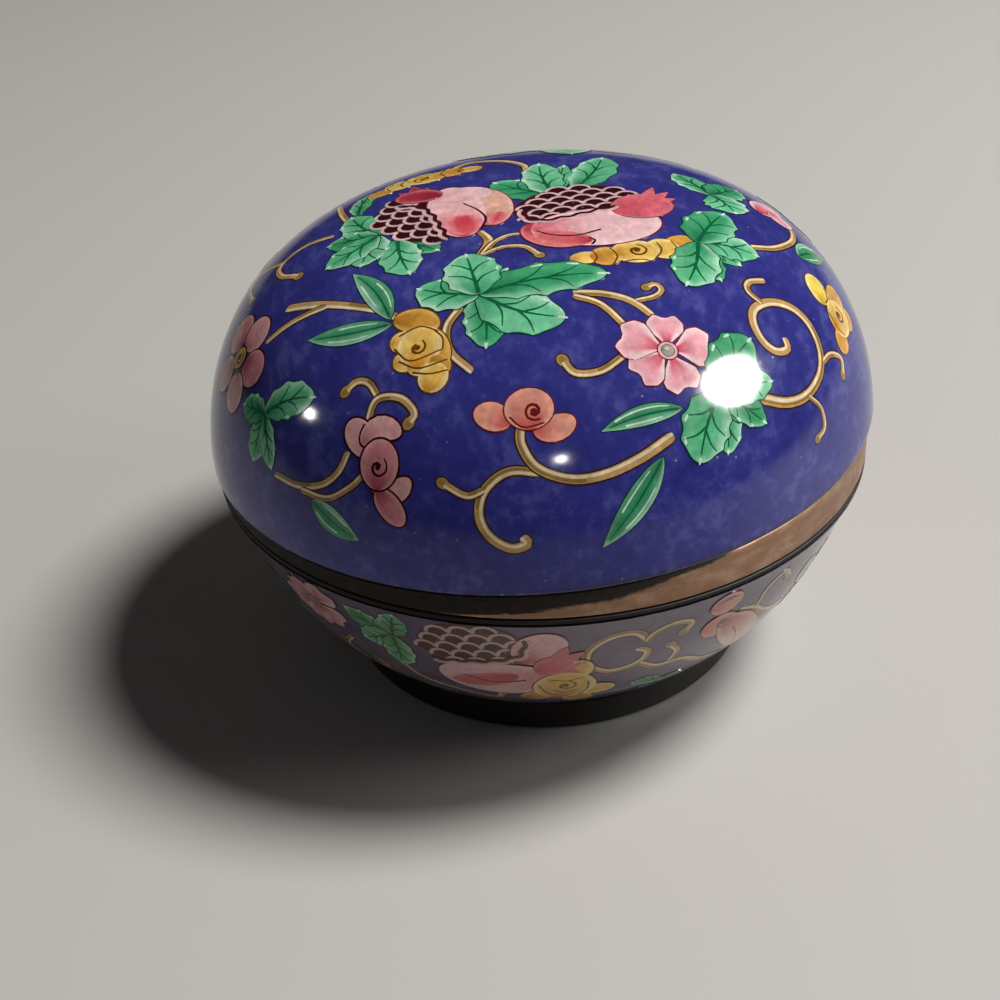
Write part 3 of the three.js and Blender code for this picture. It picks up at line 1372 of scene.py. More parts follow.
@dataclass(frozen=True)
class Bloom:
    """A side-on flower or bud: petals, curved pleats and a spiral eye.

    The petals are outlined one by one, or all together where they are merged. The pleats are lines of three
    points. The eye is its middle, radius, turns and first bearing.
    """

    petals: tuple[tuple[Lobe, Tint], ...]
    line: Colour
    eye: tuple[complex, float, float, float] | None = None
    pleats: tuple[tuple[complex, ...], ...] = ()
    line_width: float = 0.22
    merged: bool = False

    def paint(self, picture: Picture, pose: Pose = Pose(), level: float = 0.0) -> None:
        """Paints the petals in order, then the lines."""
        brush = Brush(picture, Group.BLOSSOMS, pose, level)
        if self.merged:
            brush.merged(self.petals, self.line, self.line_width)
        else:
            for lobe, tint in self.petals:
                brush.lobe(lobe, tint, self.line, self.line_width)
        for pleat in self.pleats:
            brush.stroke(curve(pleat, 0.4), 0.36, self.line, (0.8, 0.6))
        if self.eye is not None:
            middle, radius, turns, start = self.eye
            brush.stroke(spiral(middle, start, radius, turns), 0.4, self.line, (1.4, 0.6))
            brush.up()
            brush.lobe(oval(middle, 0.9, 0.8), Tint(self.line, self.line, self.line))


@dataclass(frozen=True)
class Pomegranate:
    """A split pomegranate: a bed of seeds, the flesh that makes one outlined shape, and a spiked calyx.

    Each spike of the calyx is a tip. The rind runs between the seeds and the flesh, with the seeds on its
    left. The shades lie on the flesh without an outline, and the seams are dark lines on it.
    """

    bed: Lobe
    seed_turn: float
    flesh: tuple[tuple[Lobe, Tint], ...]
    calyx: tuple[Lobe, Tint]
    spikes: tuple[complex, ...]
    rind: tuple[complex, ...]
    shades: tuple[tuple[Lobe, Tint], ...] = ()
    seams: tuple[tuple[complex, ...], ...] = ()
    seed_width: float = 3.2
    seed_rise: float = 1.9

    def paint(self, picture: Picture, pose: Pose = Pose(), level: float = 0.0) -> None:
        """Paints the seeds, the flesh over them, the calyx and the rind."""
        brush = Brush(picture, Group.FRUIT, pose, level)
        self.seeds(brush)
        brush.up(4)
        brush.merged(self.flesh, ROSE_LINE, 0.24)
        for lobe, tint in self.shades:
            brush.lobe(lobe, tint)
        for seam in self.seams:
            brush.stroke(curve(seam), 0.46, WINE_LINE, (0.6, 0.9))
        brush.up()
        calyx, tint = self.calyx
        root = calyx.start + (calyx.tip - calyx.start) * 0.5
        brush.merged(
            [*((Lobe(root, tip, 2.2, root=0.5, point=0.9), tint) for tip in self.spikes), self.calyx],
            ROSE_LINE,
            0.16,
        )
        edge = scalloped(curve(self.rind, 0.35), self.seed_width * 0.9, 0.55)
        brush.stroke(edge, 0.7, WINE_LINE, offset=-0.42)
        brush.stroke(edge, 0.62, SEED_SKIN, offset=0.18)

    def seeds(self, brush: Brush) -> None:
        """Fills the bed with rows of dark cells under pale skins, every other row half a seed along."""
        brush.lobe(self.bed, SEED_CELL)
        middle = (self.bed.start + self.bed.tip) / 2
        axis = np.exp(1j * math.radians(self.seed_turn))
        turn = np.radians(np.linspace(2, 178, 9))
        arch = axis * (self.seed_width * 0.5 * np.cos(turn) + 1j * self.seed_rise * 0.85 * np.sin(turn))
        rows = int(abs(self.bed.tip - self.bed.start) / 2 / self.seed_rise) + 3
        for row in range(-rows, rows + 1):
            for column in range(-rows, rows + 1):
                shift = (column + 0.5 * (row % 2)) * self.seed_width + 1j * row * self.seed_rise
                at = middle + axis * shift
                if self.bed.holds(at + axis * 0.45j * self.seed_rise, 0.35):
                    cell = oval(
                        at + axis * 0.3j * self.seed_rise,
                        self.seed_width,
                        self.seed_rise * 1.3,
                        self.seed_turn,
                    )
                    brush.lobe(cell, SEED_CELL)
                    brush.stroke(at + arch, 0.62, SEED_SKIN, (0.75, 0.9))
                    brush.up(-1)


# ---- the lid's picture ---------------------------------------------------------------------------
LID_LEAVES = (
    LeafCluster(
        -6.0 - 24.6j,
        (
            (-2.2 - 19.4j, 2.6, 0.0),
            (-5.4 - 34.2j, 6.6, 0.05),
            (5.0 - 30.4j, 8.6, -0.1),
            (-14.2 - 21.4j, 7.4, 0.06),
            (10.8 - 21.8j, 7.8, 0.05),
            (-7.8 - 14.6j, 8.6, 0.0),
        ),
    ),
    LeafCluster(
        -20.6 - 4.6j,
        (
            (-25.4 + 5.0j, 6.4, 0.04),
            (-28.2 - 3.4j, 5.6, 0.0),
            (-22.6 - 12.6j, 6.6, 0.0),
            (-27.8 - 10.2j, 6.6, 0.05),
        ),
    ),
    LeafCluster(
        -17.6 - 7.2j, ((-19.6 - 12.4j, 4.4, 0.0), (-11.6 - 12.2j, 5.4, 0.0), (-15.4 - 17.4j, 6.6, -0.04))
    ),
    LeafCluster(4.6 + 3.4j, ((6.4 + 15.4j, 3.8, 0.0), (-4.2 + 10.0j, 8.0, 0.05), (2.6 + 17.0j, 6.8, 0.04))),
    LeafCluster(7.8 + 5.0j, ((12.4 + 19.4j, 7.4, -0.05),)),
    LeafCluster(
        23.8 - 13.0j,
        (
            (29.6 - 16.6j, 4.0, 0.0),
            (26.4 - 21.0j, 5.0, -0.05),
            (32.6 - 13.0j, 7.0, 0.05),
            (21.4 - 23.2j, 7.6, 0.05),
            (28.6 - 3.0j, 8.4, 0.03),
        ),
    ),
    LeafCluster(
        26.0 - 39.6j,
        (
            (28.8 - 48.2j, 5.6, 0.05),
            (34.6 - 42.0j, 5.2, 0.0),
            (34.6 - 35.4j, 5.8, 0.0),
            (24.2 - 50.4j, 8.6, -0.05),
            (30.4 - 30.2j, 8.4, 0.05),
        ),
    ),
    LeafCluster(27.6 + 3.8j, ((22.8 + 11.6j, 5.6, 0.0), (32.4 + 9.8j, 7.0, 0.0), (30.6 - 1.8j, 8.0, 0.05))),
    LeafCluster(
        -41.0 - 31.0j,
        (
            (-47.6 - 35.6j, 5.8, 0.0),
            (-45.6 - 26.0j, 5.2, 0.0),
            (-43.6 - 39.4j, 4.4, 0.0),
            (-30.8 - 33.8j, 6.2, 0.06),
        ),
    ),
    LeafCluster(-24.4 + 5.4j, ((-23.2 + 14.8j, 4.0, 0.05),)),
)
LID_REEDS = (
    Reed(-18.0 - 26.2j, -23.6 - 14.0j, 3.6, -0.05),
    Reed(-17.8 - 27.2j, -30.6 - 24.2j, 3.6, 0.05),
    Reed(20.6 - 43.0j, 9.2 - 47.2j, 2.8, -0.03, streaks=3),
    Reed(18.3 - 50.3j, 9.8 - 64.8j, 4.2, 0.04),
    Reed(-37.2 - 48.0j, -31.3 - 57.4j, 4.4, -0.05),
    Reed(40.4 - 7.2j, 47.4 + 0.4j, 4.4, 0.05),
)
LID_SCROLLS = (
    Scroll((-15.6 - 27.8j, -19 - 24.3j, -24 - 21j, -29 - 18j, -34.3 - 15.2j), 1.7, (0.7, 0.9)),
    Scroll((-27.4 - 19.3j, -33 - 18.9j, -38.4 - 19.2j), 1.1),
    Scroll((-8.4 - 26.6j, -10.4 - 30j, -10.1 - 34j, -7.4 - 37.6j), 1.2, light=-1.0),
    Scroll((-6.0 - 7.6j, -4.7 - 11j, -5.8 - 15.4j), 1.5, (0.8, 1.1)),
    Scroll((-5.6 - 15j, -4 - 11.6j, -1.8 - 9.7j, 0.8 - 9.8j), 1.0, (1.0, 0.8)),
    Scroll((-5.4 - 15j, -3 - 13.4j, 0 - 13.6j, 2.0 - 16.2j), 1.0, (0.9, 1.0), knob=1.5),
    Scroll((6.2 - 25.8j, 10 - 26j, 13.6 - 27.2j, 16.4 - 29.6j), 1.3),
    Scroll((14.4 - 27.2j, 16.8 - 26.2j, 17.9 - 24.8j, 17.2 - 23.6j, 16.1 - 24.3j), 0.9, (0.9, 1.0), knob=1.5),
    Scroll((6.2 - 26.4j, 9.6 - 28j, 12.6 - 31.6j), 1.1),
    Scroll((12.6 - 36.2j, 9.4 - 38.7j, 6 - 39.1j, 4.5 - 37.4j), 1.1, (0.9, 1.0), knob=1.5),
    Scroll((33 - 38.7j, 38 - 37.6j, 42 - 34.7j, 44.3 - 30j, 44 - 26j, 41.5 - 22.6j, 38 - 21.2j, 34 - 22.1j,
            31.2 - 24.6j, 31 - 27.3j, 32.6 - 29.7j, 35 - 30.4j, 37.1 - 29j, 36.3 - 27.4j), 1.5, (1.2, 0.85)),
    Scroll((32.4 - 23.0j, 30.3 - 21.6j, 30.6 - 19.7j, 33.2 - 18.2j), 1.0, (0.9, 1.1)),
    Scroll((44.7 - 27.4j, 46.6 - 24.6j, 49.6 - 23.3j, 50.7 - 25.6j), 1.1, (0.9, 1.0), knob=1.5),
    Scroll((42.6 - 34.6j, 46 - 35j, 48.1 - 37.4j, 47.2 - 39.9j), 1.0, (0.8, 1.0), knob=1.5),
    Scroll(
        (-1.7 - 46j, -1.8 - 48.6j, 0.2 - 52j, 5 - 53.8j, 10 - 53.1j, 15 - 50.6j, 19.6 - 47j),
        1.5,
        (0.9, 1.1),
    ),
    Scroll(
        (
            0.6 - 52.7j,
            -4 - 52.1j,
            -7.8 - 54.3j,
            -9.3 - 58j,
            -8.2 - 61.6j,
            -5.2 - 63.9j,
            -2.4 - 63.4j,
            -3.2 - 62.1j,
        ),
        1.35,
        (0.9, 1.35),
    ),
    Scroll((-7.8 - 54.2j, -10.6 - 54.7j, -13.6 - 52.4j), 1.15, (0.9, 1.0), knob=1.5),
    Scroll((-23 - 40.9j, -21 - 38.2j, -17.6 - 39j, -15.9 - 41.6j, -16.8 - 42.7j), 1.15, (0.9, 1.0), knob=1.5),
    Scroll((-20.8 - 37.8j, -21.8 - 35.4j, -23.6 - 34.5j, -25.3 - 35.2j), 1.1, (0.9, 1.0), knob=1.5),
    Scroll((-43.2 - 40.6j, -39 - 44.6j, -34 - 46.6j, -30 - 46j, -27.2 - 43.8j), 1.2, light=-1.0),
    Scroll((-38.6 - 45.6j, -34 - 48.9j, -29 - 48.9j, -25.6 - 47.8j), 1.1),
    Scroll((-27.6 + 0j, -33 + 1j, -36.8 - 1.2j, -36 - 5.2j, -32.8 - 8.2j), 1.1, (1.0, 1.0), knob=1.5),
    Scroll((-36.5 - 0.4j, -41 + 2.4j, -44 + 1.0j, -42.6 - 4.6j), 1.0, (0.9, 1.0), knob=1.5),
    Scroll((-25.4 + 2.6j, -27.2 + 8j, -28.6 + 14.4j), 1.1),
    Scroll((-10 + 15.6j, -10.8 + 19j, -8 + 22.2j, -3 + 20.6j, 0.2 + 17.2j, 0.7 + 13.2j), 1.1, (1.3, 0.9)),
    Scroll((31.6 - 11.2j, 36 - 8.6j, 39.8 - 3.2j, 40.5 + 2j, 38 + 6.2j), 1.2),
)


PINK_BLOSSOM = Blossom()
CORAL_BUD = Bloom(
    (
        (Lobe(-2.8 - 1.6j, -7.6 + 0.6j, 3.9, -0.05), BUD_CORAL),
        (Lobe(0.2 - 2.8j, 5.8 - 1.3j, 3.6, -0.1), BUD_CORAL),
        (Lobe(-0.2 - 2.6j, -0.2 + 3.1j, 6.6), BUD_CORAL),
    ),
    tone(112, 30, 30),
    (0.4 - 0.1j, 1.4, 1.3, 200.0),
    pleats=((-2.9 - 0.6j, -1.2 - 2.2j, 1.8 - 1.8j),),
)
YELLOW_POPPY = Bloom(
    (
        (Lobe(-3.2 + 5.8j, 2.6 + 2.6j, 4.2, 0.1), OCHRE),
        (Lobe(0.8 + 3.2j, 3.0 - 3.8j, 4.4), OCHRE),
        (oval(-2.2 + 1.8j, 3.4, 3.4), YELLOW),
        (oval(-2.0 - 1.4j, 3.4, 3.2), YELLOW),
        (oval(0.2 - 2.6j, 4.0, 3.2), YELLOW),
        (oval(0.2 + 0.4j, 6.6, 6.2, 80.0), YELLOW),
        (oval(2.6 - 3.2j, 3.4, 3.0, -50.0), OCHRE),
        (oval(1.6 - 4.8j, 4.4, 4.2, 60.0), YELLOW),
    ),
    OCHRE_LINE,
    (-0.2 + 0.2j, 1.3, 0.9, 90.0),
    pleats=(
        (-3.4 + 1.0j, -1.2 - 1.6j, 3.2 - 0.9j),
        (-2.9 - 1.2j, -0.2 - 3.0j, 3.8 - 2.6j),
        (-1.2 - 3.4j, 1.2 - 4.2j, 3.8 - 4.2j),
        (-2.6 + 2.8j, 0.4 + 3.6j, 2.8 + 2.2j),
        (2.2 + 2.6j, 3.3 + 0.9j, 3.2 - 0.9j),
    ),
    merged=True,
)
YELLOW_SHELL = Bloom(
    (
        (oval(6.4 + 2.9j, 4.8, 3.6, 30.0), OCHRE),
        (oval(3.8 + 1.0j, 4.8, 5.0, 20.0), YELLOW),
        (oval(-6.8 - 1.5j, 4.2, 3.0, 10.0), YELLOW),
        (oval(-4.0 - 1.2j, 4.4, 4.6, 10.0), OCHRE),
        (oval(0.0 + 0.0j, 6.6, 5.6, 10.0), YELLOW),
    ),
    OCHRE_LINE,
    (0.2 + 0.2j, 1.6, 1.2, 20.0),
    pleats=(
        (-5.8 - 3.0j, -5.2 - 1.4j, -5.8 + 0.2j),
        (-3.2 - 3.4j, -2.5 - 1.2j, -3.4 + 0.9j),
        (-1.6 - 2.6j, 0.6 - 2.0j, 2.2 - 2.4j),
        (2.6 - 1.7j, 3.6 + 0.6j, 3.0 + 2.6j),
        (4.9 - 0.8j, 5.8 + 1.2j, 5.0 + 3.1j),
    ),
    merged=True,
)
YELLOW_SIDE = Bloom(
    (
        (oval(-5.3 + 2.2j, 5.8, 5.0, 120.0), LEMON),
        (Lobe(-0.6 + 1.0j, -0.8 + 7.0j, 4.6), OCHRE),
        (Lobe(1.6 + 0.0j, 3.6 + 4.6j, 4.0), OCHRE),
        (Lobe(0.6 - 2.0j, 1.2 - 6.6j, 4.2), OCHRE),
        (oval(0j, 7.2, 6.4, 70.0), YELLOW),
    ),
    OCHRE_LINE,
    (0.0 + 0.6j, 1.6, 1.2, 60.0),
    pleats=((-3.0 - 1.2j, -0.6 - 2.6j, 1.8 - 2.4j), (-3.6 + 0.4j, -3.0 + 2.0j, -3.8 + 4.0j)),
    merged=True,
)
DUSKY_BLOOM = Bloom(
    (
        (Lobe(-0.6 + 1.6j, -3.0 + 7.6j, 4.6), DUSKY_PALE),
        (Lobe(-1.8 + 3.6j, 4.4 + 3.2j, 3.6, 0.25), DUSKY_PALE),
        (Lobe(-2.2 - 3.0j, 4.2 - 3.2j, 3.6, -0.22), DUSKY_PALE),
        (Lobe(-1.6 - 3.4j, 0.9 - 9.8j, 4.0), DUSKY),
        (oval(0j, 7.4, 6.2, 66.0), DUSKY),
    ),
    DUSKY_LINE,
    (-0.3 - 0.3j, 1.7, 1.1, 0.0),
    line_width=0.36,
)
SIDE_BLOOM = Bloom(
    (
        (oval(0.6 + 5.2j, 6.0, 6.4, 90.0), DUSKY),
        (oval(4.6 + 1.2j, 5.6, 6.0, 10.0), DUSKY_PALE),
        (oval(3.0 - 4.4j, 6.0, 5.6, -60.0), DUSKY),
        (oval(-2.6 - 4.6j, 6.2, 5.6, -120.0), DUSKY_PALE),
        (oval(-4.6 + 1.4j, 6.2, 5.6, 160.0), DUSKY),
        (oval(0.2 + 0.2j, 3.4, 3.2), OCHRE),
    ),
    DUSKY_LINE,
    (0.2 + 0.2j, 1.2, 1.0, 0.0),
    line_width=0.3,
)
PALE_BUD = Bloom(
    (
        (oval(0j, 5.4, 4.6, 60.0), PETAL_PINK), (oval(1.8 - 1.6j, 3.8, 3.4, -40.0), PETAL_PINK)
    ), ROSE_LINE, line_width=0.18
)

# Each is a motif and where it stands.
LID_BLOSSOMS = (
    (YELLOW_POPPY, Pose(-14.3 - 32.5j)),
    (YELLOW_SHELL, Pose(15.0 - 16.4j)),
    (CORAL_BUD, Pose(-0.2 - 44.0j)),
    (PINK_BLOSSOM, Pose(18.3 - 35.0j)),
    (YELLOW_SIDE, Pose(48.8 - 15.2j)),
    (DUSKY_BLOOM, Pose(-22.8 - 47.3j)),
    (SIDE_BLOOM, Pose(-45.2 - 17.0j, size=1.05)),
    (PALE_BUD, Pose(36.6 + 5.2j, size=1.2)),
)
SPLIT_LEFT = Pomegranate(
    bed=Lobe(-11.8 - 8.8j, -19.0 + 6.8j, 8.8, 0.04),
    seed_turn=126.0,
    flesh=(
        (Lobe(-4.2 - 6.0j, -5.8 + 7.4j, 6.2, -0.04), PEACH),
        (oval(-2.6 - 1.4j, 3.2, 2.6, 80.0), PEACH),
        (Lobe(-13.4 + 6.4j, -4.4 + 6.2j, 5.6), FLESH_PINK),
        (Lobe(-8.0 - 9.0j, -11.0 + 9.6j, 8.2, 0.0), FLESH_CORAL),
    ),
    calyx=(Lobe(-12.0 + 6.6j, -18.8 + 7.6j, 5.2, -0.08), CALYX_DEEP),
    spikes=(-18.4 + 10.4j, -16.4 + 12.6j, -14.2 + 11.0j),
    rind=(-10.4 - 9.2j, -11.7 - 5.0j, -12.8 - 1.0j, -14.8 + 2.8j, -18.4 + 4.8j),
    shades=(
        (Lobe(-7.6 - 8.4j, -8.8 - 1.4j, 5.4), ROSE_SHADE), (oval(-3.6 - 3.6j, 4.6, 2.6, 75.0), ROSE_SHADE)
    ),
    seams=((-8.6 + 2.8j, -6.4 - 0.2j, -5.2 - 3.6j, -6.0 - 7.6j),),
)
SPLIT_FRONT = Pomegranate(
    bed=Lobe(-0.4 - 4.2j, 14.6 + 2.0j, 10.2, 0.11),
    seed_turn=4.0,
    flesh=(
        (Lobe(0.8 - 6.8j, 8.6 - 13.2j, 6.4, -0.12), CORAL),
        (Lobe(1.2 - 8.0j, 19.0 - 7.0j, 11.6, -0.08), FLESH_PINK),
    ),
    calyx=(Lobe(12.8 - 4.4j, 21.0 - 0.8j, 8.2), CALYX),
    spikes=(15.2 + 1.6j, 18.9 + 4.2j, 21.0 + 2.6j, 21.9 + 0.2j, 21.6 - 2.4j, 19.6 - 6.2j),
    rind=(13.4 - 2.6j, 10.2 - 3.8j, 6.6 - 5.2j, 2.8 - 6.0j, 0.4 - 4.6j, 0.2 - 1.6j),
    shades=((Lobe(9.4 - 13.4j, 1.6 - 10.0j, 4.4, 0.05), CORAL),),
    seams=((1.8 - 9.2j, 4.0 - 10.9j, 7.4 - 11.5j, 10.8 - 10.0j), (8.9 - 12.2j, 9.8 - 13.4j, 9.2 - 14.4j)),
)


@dataclass(frozen=True)
class LidPicture:
    """The lid's drawing: two split pomegranates at the crown, with leaves, scrolls and flowers round them.

    The front is drawn motif by motif. The back repeats what stands lowest in front, half a turn round.
    """

    back: Pose = Pose(turn=180.0)
    repeated_below: float = -27.0

    def paint(self, plan: LidPlan) -> Picture:
        """Paints every motif, the scrolls first and the fruit over the leaves behind it."""
        picture = Picture(plan)
        for number, scroll in enumerate(LID_SCROLLS):
            scroll.paint(picture, level=number % 3 * 3)
            if scroll.points[0].imag < self.repeated_below - 3:
                scroll.paint(picture, self.back, number % 3 * 3)
        for reed in LID_REEDS:
            reed.paint(picture, level=5)
            if reed.start.imag < self.repeated_below:
                reed.paint(picture, self.back, 5)
        for leaf in LID_LEAVES:
            leaf.paint(picture, level=9)
            if leaf.hub.imag < self.repeated_below:
                leaf.paint(picture, self.back, 9)
        LID_LEAVES[0].paint(picture, Pose(8j, 180.0), 9)
        for fruit in (SPLIT_LEFT, SPLIT_FRONT):
            fruit.paint(picture, level=18)
        for bloom, pose in LID_BLOSSOMS:
            bloom.paint(picture, pose, 12)
            if pose.at.imag < self.repeated_below / 2:
                bloom.paint(picture, Pose(self.back.put(pose.at), pose.turn + 180.0, pose.size), 12)
        return picture


# ---- the bowl's picture --------------------------------------------------------------------------
BOWL_FRUIT = Pomegranate(
    bed=Lobe(-16.8 - 8.0j, -3.4 - 4.2j, 10.6, 0.06),
    seed_turn=10.0,
    flesh=(
        (Lobe(-3.8 - 8.8j, 1.2 - 2.2j, 6.6), FLESH_CORAL),
        (Lobe(1.6 - 13.4j, -15.8 - 13.2j, 10.6, 0.08), FLESH_PINK),
    ),
    calyx=(Lobe(-1.8 - 11.4j, 2.8 - 8.2j, 4.8), CALYX),
    spikes=(2.2 - 5.0j, 4.4 - 6.6j, 5.0 - 9.4j, 4.0 - 12.2j),
    rind=(-2.8 - 3.0j, -3.8 - 7.0j, -7.6 - 8.8j, -12.0 - 9.6j, -16.0 - 10.2j),
    shades=((Lobe(-4.4 - 12.6j, -14.4 - 16.0j, 4.4, 0.05), CORAL),),
    seams=((-12.4 - 13.6j, -8.0 - 15.2j, -3.4 - 14.2j),),
    seed_width=3.1,
)
BOWL_LEAVES = (
    LeafCluster(
        -21.0 - 6.4j,
        (
            (-19.4 - 0.8j, 4.6, 0.0),
            (-27.0 - 2.6j, 5.2, 0.05),
            (-26.4 - 9.6j, 5.2, 0.0),
            (-22.0 - 14.6j, 5.4, 0.04),
        ),
    ),
    LeafCluster(
        45.0 - 12.0j,
        (
            (41.0 - 6.0j, 5.0, 0.05),
            (50.5 - 7.4j, 5.4, 0.0),
            (51.4 - 14.0j, 5.0, 0.05),
            (44.0 - 19.6j, 5.6, 0.0),
        ),
    ),
    LeafCluster(
        18.0 - 22.0j, ((12.6 - 20.0j, 4.2, 0.0), (16.4 - 28.0j, 4.6, 0.05), (23.2 - 25.4j, 4.6, 0.0))
    ),
)
BOWL_SCROLLS = (
    Scroll(
        (
            12.8 - 6.2j,
            10.8 - 3.8j,
            7.6 - 4.0j,
            5.0 - 6.8j,
            5.2 - 10.6j,
            8.2 - 13.2j,
            12.0 - 12.2j,
            13.2 - 9.4j,
            11.4 - 7.9j,
        ),
        1.3,
    ),
    Scroll((12.6 - 6.6j, 13.6 - 4.8j, 16.2 - 3.7j, 18.6 - 4.6j, 18.0 - 6.4j), 1.1, (0.9, 1.0), knob=1.5),
    Scroll((12.4 - 12.4j, 15.4 - 14.8j, 19.8 - 15.2j, 24.0 - 18.6j, 29.0 - 20.4j), 1.3),
    Scroll((17.2 - 14.6j, 17.9 - 11.6j, 16.6 - 9.4j), 1.1, (0.9, 1.0), knob=1.5),
    Scroll((26.6 - 6.6j, 30.2 - 8.6j, 33.4 - 11.6j, 37.4 - 13.4j, 43.8 - 12.2j), 1.3),
    Scroll((30.4 - 8.4j, 31.0 - 4.2j, 33.4 - 2.6j, 35.0 - 4.6j), 1.0, (0.9, 1.0), knob=1.5),
    Scroll(
        (-30.0 - 12.0j, -33.4 - 17.0j, -30.8 - 21.4j, -26.6 - 20.2j, -27.6 - 17.6j),
        1.2,
        (0.9, 1.0),
        knob=1.5,
    ),
    Scroll(
        (-22.4 - 13.4j, -20.0 - 18.8j, -14.6 - 21.4j, -9.0 - 23.6j, -7.6 - 20.8j), 1.2, (0.9, 1.0), knob=1.5
    ),
)
YELLOW_FAN = Bloom(
    (
        (oval(1.5 + 5.8j, 5.4, 4.8, 70.0), YELLOW),
        (oval(-4.2 - 4.0j, 5.6, 4.4, 40.0), OCHRE),
        (oval(2.2 - 6.2j, 5.6, 4.8, -60.0), OCHRE),
        (oval(4.6 - 2.2j, 6.2, 4.8), YELLOW),
        (oval(0j, 10.4, 9.2, 80.0), YELLOW),
    ),
    OCHRE_LINE,
    (0.2 + 0.6j, 1.7, 1.1, 40.0),
    pleats=(
        (-3.8 + 1.2j, -2.4 - 2.6j, 0.6 - 4.6j),
        (-2.4 + 3.2j, 0.4 + 2.4j, 2.6 + 3.4j),
        (3.4 + 1.6j, 3.4 - 1.4j, 2.2 - 4.6j),
        (-1.6 - 1.2j, 0.2 - 2.6j, 1.9 - 1.4j),
    ),
    merged=True,
)
PEACH_SPRAY = Bloom(
    (
        (oval(-3.4 + 8.2j, 4.8, 4.6), BUD_CORAL),
        (oval(-3.2 + 3.0j, 5.4, 5.2), BUD_CORAL),
        (Lobe(-2.6 + 4.0j, 6.4 - 9.2j, 6.6, 0.04), PEACH),
    ),
    ROSE_LINE,
    (-2.6 + 3.4j, 1.4, 1.0, 0.0),
    pleats=((0.0 + 0.6j, 1.8 - 2.4j, 3.0 - 5.6j),),
)
BOWL_BLOSSOMS = (
    (YELLOW_FAN, Pose(2.0 - 17.2j)),
    (PEACH_SPRAY, Pose(26.8 - 11.2j)),
    (PINK_BLOSSOM, Pose(-33.6 - 5.4j, 30.0, 0.85)),
)


@dataclass(frozen=True)
class BowlPicture:
    """The bowl's drawing: one length of fruit, leaves, scrolls and flowers, repeated round the wall."""

    repeats: int = 3

    def paint(self, plan: BowlPlan) -> Picture:
        """Paints every repeat."""
        picture = Picture(plan)
        pitch = 2 * math.pi * plan.GIRTH / self.repeats
        for repeat in range(self.repeats):
            start = Pose(repeat * pitch + 0j)
            for number, scroll in enumerate(BOWL_SCROLLS):
                scroll.paint(picture, start, number % 3 * 3)
            for leaf in BOWL_LEAVES:
                leaf.paint(picture, start, 9)
            BOWL_FRUIT.paint(picture, start, 16)
            for bloom, pose in BOWL_BLOSSOMS:
                bloom.paint(picture, Pose(pose.at + start.at, pose.turn, pose.size), 28)
        return picture


# ---- studio --------------------------------------------------------------------------------------
class Role(Enum):
    """What a lamp does: light the surfaces, or show as a mirrored glint."""

    FILL = "fill"
    GLINT = "glint"


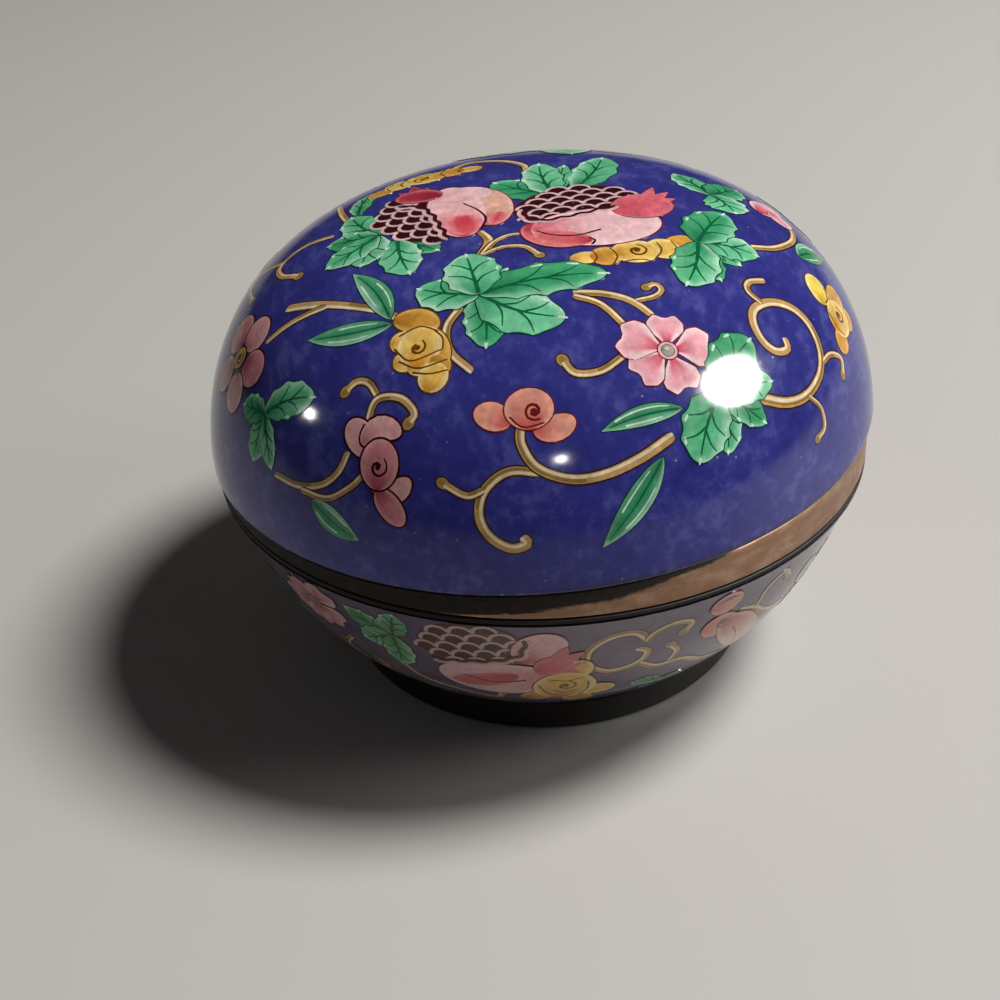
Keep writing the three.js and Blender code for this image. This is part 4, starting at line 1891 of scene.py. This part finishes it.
@dataclass(frozen=True)
class Studio:
    """A plain pale board, soft lamps and the camera."""

    aim_height: float
    distance: float = 240.0
    elevation: float = 30.54
    roll: float = 2.09
    lens: float = 55.71
    shift: tuple[float, float] = (-0.04135, -0.07555)

    def floor(self) -> bpy.types.Object:
        """Lays the board at the box's foot: a disc 1.6 m in radius."""
        rings = np.array([0.0, 200.0, 1600.0])
        at = lathe_points(rings[1:], np.zeros(2), 64).reshape(-1, 3)
        points = np.concatenate([at, [[0.0, 0.0, 0.0]]])
        faces = fan_faces(len(at), 0, 64, up=True).tolist() + band_faces(2, 64).tolist()
        made = new_piece("floor", points, faces, Board().material(), {})
        return made

    def world(self) -> None:
        """Fills the room with a dim even light."""
        world = bpy.data.worlds.new("room")
        world.use_nodes = True
        sky = world.node_tree.nodes["Background"]
        sky.inputs["Color"].default_value = (0.86, 0.84, 0.82, 1.0)
        sky.inputs["Strength"].default_value = 0.035
        bpy.context.scene.world = world

    def lamp(
        self, name: str, role: Role, direction: Sequence[float], distance: float, width: float, watts: float
    ) -> None:
        """Adds a round lamp that faces the box.

        Args:
            name: Its name.
            role: What it does.
            direction: From the box towards the lamp.
            distance: How far away it stands, in metres.
            width: Its diameter, in metres.
            watts: Its power.
        """
        light = bpy.data.lights.new(name, "AREA")
        light.shape, light.size = "DISK", width
        light.energy, light.color = watts, (1.0, 0.97, 0.93)
        lamp = bpy.data.objects.new(name, light)
        lamp.visible_glossy = role is Role.GLINT
        lamp.visible_diffuse = role is Role.FILL
        aim = Vector((0, 0, self.aim_height * MM))
        away = Vector(direction).normalized()
        turned = away.to_track_quat("Z", "Y").to_matrix().to_4x4()
        lamp.matrix_world = Matrix.Translation(aim + away * distance) @ turned
        bpy.context.scene.collection.objects.link(lamp)

    def lamps(self) -> None:
        """Sets a softbox high on the right, and a window and two points of light that the glaze mirrors."""
        self.lamp("softbox", Role.FILL, (0.50, 0.04, 0.86), 1.3, 0.4, 16.5)
        self.lamp("window", Role.GLINT, (0.805, -0.160, 0.572), 0.9, 0.32, 38.0)
        self.lamp("left_point", Role.GLINT, (-0.943, -0.019, 0.333), 1.0, 0.07, 1.2)
        self.lamp("front_point", Role.GLINT, (0.076, -0.844, 0.53), 1.0, 0.06, 0.8)

    def camera(self) -> None:
        """Looks at the seam's centre from the front and above, with a slight roll."""
        data = bpy.data.cameras.new("camera")
        data.lens, data.sensor_width = self.lens, 36.0
        data.shift_x, data.shift_y = self.shift
        data.clip_start, data.clip_end = 0.01, 20.0
        camera = bpy.data.objects.new("camera", data)
        rise = math.radians(self.elevation)
        back = Vector((0, -math.cos(rise), math.sin(rise)))
        aim = Vector((0, 0, self.aim_height * MM))
        turned = (-back).to_track_quat("-Z", "Y").to_matrix().to_4x4()
        roll = Matrix.Rotation(math.radians(-self.roll), 4, "Z")
        camera.matrix_world = Matrix.Translation(aim + back * self.distance * MM) @ turned @ roll
        bpy.context.scene.collection.objects.link(camera)
        bpy.context.scene.camera = camera

    def build(self) -> None:
        """Sets up the whole studio."""
        bpy.context.scene.view_settings.view_transform = "Standard"
        self.floor()
        self.world()
        self.lamps()
        self.camera()


def hang(picture: Picture, ground: str, slot: Slot, material: bpy.types.Material) -> None:
    """Makes every coat of a picture and lets it ride with its ground."""
    for group, coat in picture.coats.items():
        fit(coat.build(f"{ground}_{group.value}", material), slot)


def fit(piece: bpy.types.Object, slot: Slot, *nodes: str) -> None:
    """Lets a piece ride on the box, logs the slot of its finish, and hides the solids that it stands for."""
    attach(piece, "root")
    if nodes:
        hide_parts(*nodes)
    log.info("%s: %d faces, %s", piece.name, len(piece.data.polygons), slot.value)


def main() -> None:
    """Loads the frame, dresses each solid, paints both pictures, and sets up the studio."""
    logging.basicConfig(level=logging.INFO, format="%(name)s: %(message)s")
    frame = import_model()
    log.info("frame of %d solids", len(frame["nodes"]))
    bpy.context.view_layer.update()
    sizes = Sizes.from_frame()

    blue = Enamel(
        "blue_enamel_ground",
        cloud=(0.13, 0.14, 0.46),
        cloud_share=0.5,
        dusk=(0.016, 0.016, 0.13),
        dusk_share=0.6,
    )
    paint = Enamel(
        "painted_enamel",
        cloud=(1.5, 1.45, 1.4),
        cloud_share=0.6,
        dusk=(0.62, 0.6, 0.56),
        dusk_share=0.7,
        laid="MULTIPLY",
        cloud_mm=2.6,
        streak_mm=0.8,
    )
    # Colour of the brownish painted reflection and painted shade laid over the bowl's enamel.
    grime_and_reflection = (0.15, 0.115, 0.08)
    copper = Copper(
        "worn_and_lit_copper",
        metal=(0.21, 0.115, 0.07),
        rubbed=(0.30, 0.195, 0.13),
        skin=(0.020, 0.011, 0.007),
        grime_and_reflection=(0.006, 0.004, 0.003),
    ).material()
    # A darker copy of the worn copper, for the foot ring.
    dark = Copper(
        "darker_copper",
        metal=(0.16, 0.085, 0.05),
        rubbed=(0.24, 0.14, 0.09),
        skin=(0.014, 0.009, 0.006),
        grime_and_reflection=(0.005, 0.004, 0.003),
    ).material()

    fit(LidDome(sizes).build(blue.material()), Slot.LID_ENAMEL, "lid_dome")
    fit(RimStrip(sizes).build(copper), Slot.RIM_COPPER, "lid_rim_strip")
    # The bowl's blue ground under a brownish painted reflection and painted shade.
    reflection_veiled_blue = replace(blue, name="reflection_veiled_blue_enamel", film=grime_and_reflection, reflection_share=0.68)
    fit(Bowl(sizes).build(reflection_veiled_blue.material()), Slot.BOWL_ENAMEL, "bowl")
    fit(RimCollar(sizes).build(copper), Slot.COLLAR_COPPER, "bowl_rim_collar")
    fit(FootRing(sizes).build(dark), Slot.FOOT_COPPER, "foot_ring")
    hang(LidPicture().paint(LidPlan(sizes)), "lid", Slot.LID_ENAMEL, paint.material())
    # The bowl's painted motifs under the same painted reflection and shade, more thinly.
    reflection_veiled = replace(paint, name="reflection_veiled_painted_enamel", film=grime_and_reflection, reflection_share=0.5).material()
    hang(BowlPicture().paint(BowlPlan(sizes)), "bowl", Slot.BOWL_ENAMEL, reflection_veiled)

    Studio(sizes.seam).build()


if __name__ == "__main__":
    main()
